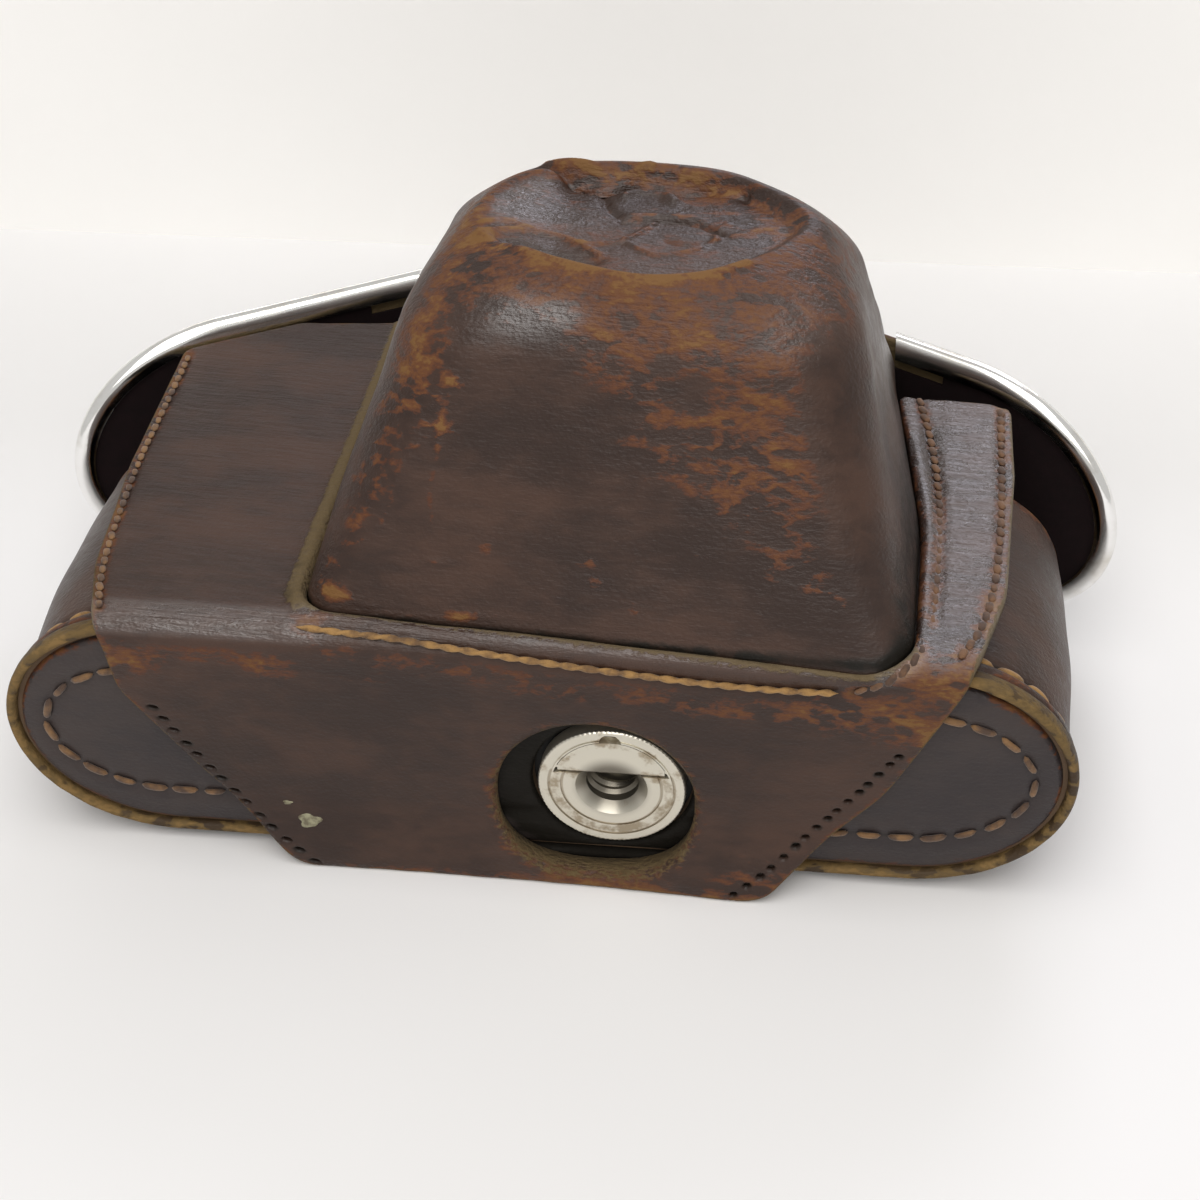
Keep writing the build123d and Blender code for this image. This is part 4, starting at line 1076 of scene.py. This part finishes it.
def wall_height(x, z):
    """Height of the wall's top: level, cut down for the lens in front, and up under the lid behind."""
    top = np.full(len(x), wall_top)
    from_side = np.minimum(x + 27.0, 48.0 - x)
    bend = 9.0 - np.clip(from_side, 0, 9)
    window = 12.0 + 9.0 - np.sqrt(81 - bend**2)
    top = np.where((z > case_depth / 2) & (from_side > 0), window, top)
    rise = np.minimum(roof_cap - 1.8 - 2.2, edging_line(x) - 2.75)
    rise = np.where((x > -25.5) & (x < 44.5), wall_top + 25.7, rise)
    return np.where((z < case_depth / 4) & (np.abs(x) < 62), rise, top)


# Where its top steps up or down, two points of the outline are set close together.
outer_line = even(oval_line(wall_inset, count=700), 700)
for x_step, in_front in ((-27.0, 1), (48.0, 1), (-62.0, 0), (62.0, 0), (-25.5, 0), (44.5, 0)):
    other_side = (outer_line[:, 1] > case_depth / 2) != in_front
    two = np.argsort(np.abs(outer_line[:, 0] - x_step) + np.where(other_side, 1e3, 0))[:2]
    low_x, high_x = sorted(two, key=lambda k: outer_line[k, 0])
    outer_line[low_x, 0], outer_line[high_x, 0] = x_step - 0.02, x_step + 0.02
inward = np.roll(outer_line, -1, axis=0) - np.roll(outer_line, 1, axis=0)
inward = unit(np.column_stack([inward[:, 1], -inward[:, 0]]))
top = wall_height(outer_line[:, 0], outer_line[:, 1])
lip = [(0.6, 3.2), (-0.35, 3.45), (-0.85, 4.0), (-0.9, 4.8), (-0.5, 5.6), (0.1, 6.1), (0.5, 6.6), (0.5, 7.1),
       (0.15, 7.7), (0.0, 8.5)]
foot, shoulder, half_thick = lip[0][1], 8.4, wall_thick / 2
bulge = 0.9 * step_between(60, 78, np.abs(outer_line[:, 0]))
rows = list(lip)
for share in np.linspace(0, 1, 26)[1:]:
    rows.append((-bulge * np.sin(np.pi * share**0.8), shoulder + (top - half_thick - shoulder) * share))
for angle in np.linspace(0, np.pi, 9)[1:]:
    rows.append((half_thick - half_thick * np.cos(angle), top - half_thick + half_thick * np.sin(angle)))
outside_rows = len(rows)
for share in np.linspace(0, 1, 8)[1:]:
    rows.append((wall_thick, top - half_thick - (top - half_thick - foot) * share))
wall = []
for inset, y in rows:
    x, z = (outer_line + np.reshape(inset, (-1, 1)) * inward).T
    wall.append(np.stack(np.broadcast_arrays(x, y, z), -1))
wall = np.array(wall)
wall_flat = wall.reshape(-1, 3)
end_share = step_between(58, 70, np.abs(wall_flat[:, 0]))
wall_flat[:, 0] += end_share * 0.25 * ripple(wall_flat, 14, 41)
wall_wear = 0.75 * bell(np.tile(top, len(rows)) - wall_flat[:, 1], 2.0)
wall_wear += 0.34 * bell(wall_flat[:, 1] - 4.4, 1.1)
wall_wear += 0.32 * step_between(84, 88, np.abs(wall_flat[:, 0])) * step_between(14, 24, wall_flat[:, 1])
is_inner = np.repeat(np.arange(len(rows)) >= outside_rows, len(top))
# Painted shade along the sewn groove of the lip.
wall_piece = add_mesh("case_side", wall_flat, grid_faces(*wall.shape[:2], True, True), {
    "wear": wall_wear * ~is_inner, "edge": is_inner * 1.0, "crease": np.full(len(wall_flat), 0.25),
    "dirt": 0.8 * bell(wall_flat[:, 1] - 6.9, 0.8)})
wall_piece.data.materials.append(case_leather)
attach(wall_piece, "case")
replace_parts(wall_piece, "case_wall")


def wall_surface(places, lift):
    """Place on the wall's lip groove, given by the distance round the case and the height."""
    far = travelled(outer_line)
    plan = along_line(places[:, 0], far, outer_line)
    plan -= along_line(places[:, 0], far, inward) * (lift - 0.4)[:, None]
    return np.column_stack([plan[:, 0], places[:, 1], plan[:, 1]])


wall_seam = np.column_stack([np.linspace(0, travelled(outer_line)[-1], 900), np.full(900, 6.75)])
seam = row_of_stitches("seam_wall", wall_seam, wall_surface, 5.6, 4.9, 0.60, 0.45, 0.0, 0.9, 9)
seam.data.materials.append(golden_thread)
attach(seam, "case")


# Lid edging
# Two bent channels of chromed brass that grip the lid's leather roof round its ends. The outer face
# has a narrow upper band, a fine groove and a rolled lower band.
edging_profile = [
    (3.5, 2.25), (1.2, 2.25), (0.75, 2.1), (0.5, 1.8), (0.42, 1.5), (0.5, 1.32), (0.68, 1.2), (0.5, 1.06),
    (0.15, 0.8), (0.0, 0.4), (0.02, -0.1), (0.16, -0.55), (0.42, -0.98), (0.75, -1.36), (1.15, -1.68),
    (1.7, -1.93), (2.4, -2.12), (3.4, -2.24), (3.6, -2.0), (3.5, -1.5), (2.2, -1.38), (1.0, -1.32),
    (0.95, 0.1), (1.0, 1.3), (3.5, 1.35), (3.6, 1.9),
]


def edging_path(side, inner_end):
    """Plan of one edging, from its inner end in front, round the lid's elliptic end to the back."""
    half_length, back, face, end = 88.3, -1.7, 46.0, 25.0
    middle, half = (face + back) / 2, (face - back) / 2
    straight = half_length - end
    turn = np.linspace(np.pi / 2, -np.pi / 2, 121)
    arc = np.column_stack([straight + end * np.cos(turn), middle + half * np.sin(turn)])
    normal = unit(np.column_stack([np.cos(turn) / end, np.sin(turn) / half]))
    run = np.linspace(abs(inner_end), straight, 24, endpoint=False)
    front_run = np.column_stack([run, np.full(len(run), face)])
    back_run = np.column_stack([run[::-1], np.full(len(run), back)])
    line = np.vstack([front_run, arc, back_run]) * [side, 1]
    normals = np.vstack([np.tile([0, 1], (len(run), 1)), normal, np.tile([0, -1], (len(run), 1))]) * [side, 1]
    return line, normals


def chrome_material():
    """Chromium plate with faint wiping marks and a few dull places."""
    material, tree, shader = new_material("chrome plate", Metallic=1.0)
    place = object_place(tree)
    dull = noise(tree, place, 120, 4, 0.6)
    shade = mixed(tree, ramp(tree, dull, 0.45, 0.8), (0.90, 0.895, 0.88, 1), (0.62, 0.59, 0.53, 1))
    tree.links.new(shade, shader.inputs["Base Color"])
    tree.links.new(ramp(tree, dull, 0.35, 0.8, 0.09, 0.28), shader.inputs["Roughness"])
    marks = noise(tree, stretched(tree, place, (400, 1600, 1600)), 1.0, 2)
    bumped(tree, shader, marks, 0.25, 0.00003)
    return material


chrome = chrome_material()


def edging(name, side, inner_end):
    """Channel: the profile carried along the plan's line at the height of the lid's slope."""
    line, normals = edging_path(side, inner_end)
    profile = np.array(edging_profile)
    x = line[:, None, 0] - normals[:, None, 0] * profile[None, :, 0]
    z = line[:, None, 1] - normals[:, None, 1] * profile[None, :, 0]
    slope_y = edging_line(line[:, 0])[:, None] - ridge_slope * side * (x - line[:, None, 0])
    places = np.stack([x, slope_y + profile[None, :, 1], z], -1)
    piece = add_mesh(name, places.reshape(-1, 3), capped_faces(*places.shape[:2]))
    piece.data.set_sharp_from_angle(angle=math.radians(40))
    piece.data.materials.append(chrome)
    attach(piece, "cover")
    return piece


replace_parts(edging("lid_edging_left", -1, -32.0), "edging_left")
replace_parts(edging("lid_edging_right", 1, 51.0), "edging_right")


# Lid roof
# Hide bent over the camera's top in two slopes with a flat middle, its ends held in the edging.
roof_thick = 1.8


def roof_surface(places, lift):
    """Place on the roof over (x, z): the lower of the slopes and the flat cap, with a soft bend between."""
    slope = edging_line(places[:, 0]) + 1.25
    gap = slope - roof_cap
    bend = 2.0
    height = roof_cap + 0.5 * (gap - np.sqrt(gap**2 + bend**2))
    return np.column_stack([places[:, 0], height + lift, places[:, 1]])


roof_line = oval_line(0, 87.3, -0.7, 45.0, 24.0, 500)
middle_back = (roof_line[:, 0] > -32) & (roof_line[:, 0] < 51) & (roof_line[:, 1] < 10)
roof_line[middle_back, 1] = 3.3
roof_cut = cut_sheet([roof_line], 1.4)
roof_places = roof_cut["places"]
roof_lift = -rounded_rim(roof_cut["depth"], 0.5) + 0.12 * ripple(roof_places, 20, 51)
roof_wear = 0.3 * bell(roof_cut["depth"], 1.0)
roof_wear += blobs(roof_places, [(-3, 30, 14, 10, 0.3), (25, 20, 10, 20, 0.25)])
roof = leather_sheet("lid_roof_hide", roof_cut, roof_surface, roof_thick, roof_lift,
                     {"wear": (roof_wear, 0), "crease": (0.2, 0), "edge": (0, 1)})
roof.data.materials.append(case_leather)
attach(roof, "cover")
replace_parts(roof, "lid_roof")


# Closing tongue and press stud
# A tongue of hide sewn on the outside of the back, with a domed cap over the stud.
tongue_corners = [(-31.5, 30.0), (50.5, 30.0), (50.5, 79.0), (20.9, 97.3), (-18.0, 97.3), (-31.5, 93.6)]


def tongue_surface(places, lift):
    """Place on the tongue's outer face over (x, y), raised away from the case."""
    return np.column_stack([places[:, 0], places[:, 1], -0.3 - lift])


tongue_cut = cut_sheet([round_corners(tongue_corners, [10, 10, 2, 6, 6, 2])[::1]], 1.1)
tongue_places = tongue_cut["places"]
tongue_seam = round_corners([(-28.7, 32.8), (47.7, 32.8), (47.7, 78), (-28.7, 78)], [8, 8, 0.5, 0.5])
tongue_seam = spread(tongue_seam, 0.5)
tongue_line = tongue_seam[tongue_seam[:, 1] < 76.5]
start = np.argmax(np.linalg.norm(np.diff(tongue_line, axis=0), axis=1)) + 1
tongue_line = np.roll(tongue_line, -start, axis=0)
tongue_groove = distance_to(tongue_places, tongue_line, closed=False)
tongue_lift = -rounded_rim(tongue_cut["depth"], 0.5) - 0.22 * bell(tongue_groove, 0.7)
tongue_wear = 0.5 * bell(tongue_cut["depth"], 0.9)
tongue_wear += blobs(tongue_places, [(9.5, 88, 10, 8, 0.35), (9.5, 34, 30, 4, 0.25)])
tongue_edge = bell(tongue_cut["depth"], 0.3)
tongue = leather_sheet("tongue", tongue_cut, tongue_surface, 1.6, tongue_lift,
                       {"wear": (tongue_wear, 0), "crease": (0.2, 0), "edge": (tongue_edge, 1)})
tongue.data.materials.append(case_leather)
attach(tongue, "case")
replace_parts(tongue, "back_tongue")
seam = row_of_stitches("seam_tongue", tongue_line, tongue_surface, 3.2, 2.7, 0.42, 0.25, 0.08)
seam.data.materials.append(tan_thread)
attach(seam, "case")


# Metal, board and cloth of the plain pieces
# These keep their built shapes and get the finish of the real material.
def metal_material(name, clean, stain, roughness, amount=0.5):
    """Plated steel with brown stains gathered in patches."""
    material, tree, shader = new_material(name, Metallic=1.0)
    place = object_place(tree)
    marks = ramp(tree, noise(tree, place, 330, 5, 0.65), 1 - amount, 1.25 - amount)
    tree.links.new(mixed(tree, marks, clean, stain), shader.inputs["Base Color"])
    tree.links.new(ramp(tree, marks, 0.0, 1.0, roughness, roughness + 0.3), shader.inputs["Roughness"])
    bumped(tree, shader, noise(tree, place, 1800, 3), 0.2, 0.00005)
    return material


def matt_material(name, dark, light, scale, roughness, **settings):
    """Matt surface with two mixed tones and a fine nap."""
    material, tree, shader = new_material(name, Roughness=roughness, **settings)
    place = object_place(tree)
    tree.links.new(mixed(tree, noise(tree, place, scale, 4), dark, light), shader.inputs["Base Color"])
    bumped(tree, shader, noise(tree, place, scale * 8, 3), 0.5, 0.0001)
    return material


def apart(tree, value, middle):
    """How far a value is from a middle one."""
    return sums(tree, "ABSOLUTE", sums(tree, "SUBTRACT", value, middle))


def screw_material():
    """Nickel plate with brown stains round the wing's edges and in patches, and painted shade darkening it
    down the socket.
    """
    material, tree, shader = new_material("screw nickel", Metallic=0.85)
    place = object_place(tree)
    centre = in_frame((screw_x, 0, screw_z))
    from_axis = add_node(tree, "ShaderNodeVectorMath", {0: place, 1: tuple(centre)}, operation="SUBTRACT")
    parts = add_node(tree, "ShaderNodeSeparateXYZ", {0: from_axis.outputs[0]}).outputs
    squares = [(sums(tree, "POWER", parts[axis], 2.0), 1.0) for axis in "XZ"]
    radius = sums(tree, "SQRT", weighted(tree, *squares))
    wing_radius, wing_chord, groove_radii = 0.0085, 0.0030, (0.0075, 0.0094)
    at_arc = ramp(tree, apart(tree, radius, wing_radius), 0.0018, 0.0002)
    at_chord = ramp(tree, apart(tree, parts["Z"], wing_chord), 0.0026, 0.0002)
    at_chord = sums(tree, "MULTIPLY", at_chord, ramp(tree, sums(tree, "ABSOLUTE", parts["X"]), 0.003, 0.007))
    below_wing = ramp(tree, parts["Z"], 0.0032, 0.0026)
    blotches = noise(tree, place, 260, 5, 0.65)
    near = weighted(tree, (sums(tree, "MAXIMUM", at_arc, at_chord), 0.20), (blotches, 1.0))
    stains = ramp(tree, near, 0.60, 0.78)
    # Painted shade: darker towards the socket's middle.
    socket_shade = ramp(tree, radius, 0.0064, 0.0036)
    tint = mixed(tree, sums(tree, "MULTIPLY", stains, 0.62), (0.68, 0.645, 0.55, 1), (0.27, 0.185, 0.090, 1))
    for groove in groove_radii:
        line = ramp(tree, apart(tree, radius, groove), 0.00032, 0.00012)
        filled = sums(tree, "MULTIPLY", sums(tree, "MULTIPLY", line, 0.5), below_wing)
        tint = mixed(tree, filled, tint, (0.22, 0.15, 0.075, 1))
    tint = mixed(tree, sums(tree, "MULTIPLY", socket_shade, 0.85), tint, (0.10, 0.085, 0.065, 1))
    tree.links.new(tint, shader.inputs["Base Color"])
    tree.links.new(ramp(tree, stains, 0.0, 1.0, 0.30, 0.60), shader.inputs["Roughness"])
    bumped(tree, shader, noise(tree, place, 1800, 3), 0.2, 0.00005)
    return material


screw_metal = screw_material()
stud_metal = metal_material("stud nickel", (0.62, 0.58, 0.50, 1), (0.24, 0.18, 0.11, 1), 0.30, 0.5)
black_enamel = matt_material("black enamel", (0.006, 0.006, 0.006, 1), (0.014, 0.013, 0.012, 1), 400, 0.5,
                             Specular_IOR_Level=0.25)
velvet = matt_material("lining velvet", (0.005, 0.003, 0.003, 1), (0.013, 0.005, 0.006, 1), 500, 0.95,
                       Specular_IOR_Level=0.2)
board = matt_material("fibre board", (0.10, 0.06, 0.032, 1), (0.15, 0.095, 0.055, 1), 300, 0.85)
finishes = {
    "bottom_board": board, "wall_lining": velvet, "bottom_lining": velvet, "screw_plate": black_enamel,
    "snap_cap": stud_metal, "snap_socket": stud_metal, "snap_stud": stud_metal, "stud_rivet": stud_metal,
    "panel_lining": velvet, "nose_lining": velvet, "lid_lining": velvet, "lid_skirt": case_leather,
    "tripod_screw": screw_metal, "screw_retainer": black_enamel, "wing_pin": screw_metal,
    "screw_wing": screw_metal,
}
for node_name, material in finishes.items():
    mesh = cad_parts[node_name].data
    mesh.materials.clear()
    mesh.materials.append(material)


# Threads and rim of the tripod screw
# A 3/8 inch thread down the head's socket, a 1/4 inch thread on the shank behind it, and fine teeth
# round the head's edge.
def round_screw(radius, angle, y):
    """Places at a radius and an angle round the screw's axis, at a height y."""
    x, z = screw_x + radius * np.cos(angle), screw_z + radius * np.sin(angle)
    return np.stack(np.broadcast_arrays(x, y, z), -1)


def thread_coil(name, root, crest, start, end, pitch, columns=60):
    """Helical ridge: a triangle of root and crest radii, carried round the screw's axis as it advances."""
    turns = (end - start) / pitch
    angle = np.linspace(0, 2 * np.pi * turns, int(columns * turns))
    fade = np.minimum(1, np.minimum(angle, angle[-1] - angle) / 1.5)
    advance = start + angle / (2 * np.pi) * pitch
    points = []
    for radius, offset in ((root, -0.36 * pitch), (crest, 0.0), (root, 0.36 * pitch)):
        points.append(round_screw(root + (radius - root) * fade, angle, advance + offset))
    faces = capped_faces(len(angle), 3)
    piece = add_mesh(name, np.stack(points, 1).reshape(-1, 3), faces, flat=True)
    piece.data.materials.append(screw_metal)
    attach(piece, "screw")


thread_coil("socket_thread", 4.0, 3.45, 1.9, 5.0, 1.5875)
thread_coil("shank_thread", 3.16, 3.4, 7.0, 11.4, 1.27)
teeth = 96
angle = np.linspace(0, 2 * np.pi, teeth * 4, endpoint=False)
tooth = 0.035 * np.sign(np.sin(angle * teeth))
knurl_profile = [(10.3, -0.17), (10.62, -0.23), (10.86, -0.18), (11.02, 0.0), (11.05, 0.3), (10.9, 0.5),
                 (10.3, 0.5)]
knurl = np.array([round_screw(radius + tooth * (radius > 10.8), angle, y) for radius, y in knurl_profile])
teeth_ring = add_mesh("screw_rim_teeth", knurl.reshape(-1, 3), grid_faces(*knurl.shape[:2], True, True))
teeth_ring.data.set_sharp_from_angle(angle=math.radians(30))
teeth_ring.data.materials.append(screw_metal)
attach(teeth_ring, "screw")


# Table, wall and light
# A white table with a white wall behind it, lit from above by a wide soft light.
def white_material(name, tint, glow=0.0):
    """Plain white paint, clear from behind; its glow is seen by the camera only and lights nothing."""
    material, tree, shader = new_material(name, Roughness=0.55)
    shader.inputs["Emission Color"].default_value = (1.0, 0.97, 0.93, 1)
    seen = add_node(tree, "ShaderNodeLightPath").outputs["Is Camera Ray"]
    tree.links.new(sums(tree, "MULTIPLY", seen, glow), shader.inputs["Emission Strength"])
    from_behind = add_node(tree, "ShaderNodeNewGeometry").outputs["Backfacing"]
    clear = add_node(tree, "ShaderNodeBsdfTransparent").outputs[0]
    either = add_node(tree, "ShaderNodeMixShader", {0: from_behind, 1: shader.outputs[0], 2: clear})
    tree.links.new(either.outputs[0], tree.nodes["Material Output"].inputs["Surface"])
    place = object_place(tree)
    darker = tuple(0.97 * c for c in tint[:3]) + (1,)
    shade = mixed(tree, ramp(tree, noise(tree, place, 6, 3), 0.3, 0.7), tint, darker)
    tree.links.new(shade, shader.inputs["Base Color"])
    return material


def stage_sheet(name, corners, material):
    """Flat sheet that belongs to the studio."""
    mesh = bpy.data.meshes.new(name)
    mesh.from_pydata(corners, [], [(0, 1, 2, 3)])
    sheet = bpy.data.objects.new(name, mesh)
    bpy.context.scene.collection.objects.link(sheet)
    mesh.materials.append(material)


reach, wall_y, wall_top = 1.5, 0.137, 0.085
stage_sheet("table", [(-reach, -reach, 0), (reach, -reach, 0), (reach, reach, 0), (-reach, reach, 0)],
            white_material("white table", (0.87, 0.865, 0.865, 1)))
stage_sheet("backdrop",
            [(-reach, wall_y, 0), (reach, wall_y, 0), (reach, wall_y, wall_top), (-reach, wall_y, wall_top)],
            white_material("white wall", (0.93, 0.92, 0.90, 1), 0.10))
world = bpy.data.worlds.new("room")
bpy.context.scene.world = world
world.use_nodes = True
sky = world.node_tree.nodes["Background"]
sky.inputs["Color"].default_value = (1.0, 0.985, 0.96, 1)
ray = add_node(world.node_tree, "ShaderNodeLightPath").outputs
strength = weighted(world.node_tree, (ray["Is Camera Ray"], 0.60), (ray["Is Glossy Ray"], 0.20), (1.0, 0.40))
world.node_tree.links.new(strength, sky.inputs["Strength"])


def soft_light(name, place, aim, wide, high, power, colour):
    """Rectangular light at a place, turned towards an aim."""
    lamp = bpy.data.lights.new(name, "AREA")
    lamp.shape = "RECTANGLE"
    lamp.size, lamp.size_y = wide, high
    lamp.energy = power
    lamp.color = colour
    light = bpy.data.objects.new(name, lamp)
    bpy.context.scene.collection.objects.link(light)
    light.location = place
    light.rotation_mode = "QUATERNION"
    light.rotation_quaternion = (Vector(aim) - Vector(place)).to_track_quat("-Z", "Y")


soft_light("ceiling", (0.0, -0.35, 1.0), (0, -0.35, 0), 0.9, 0.9, 6.5, (1.0, 0.98, 0.96))
soft_light("front", (0.1, -1.0, 0.9), (0, 0, 0.05), 1.0, 0.8, 4.8, (1.0, 0.98, 0.96))
soft_light("window", (0.18, 0.80, 0.56), (0.04, 0.0, 0.05), 0.5, 0.4, 2.2, (0.88, 0.88, 1.0))
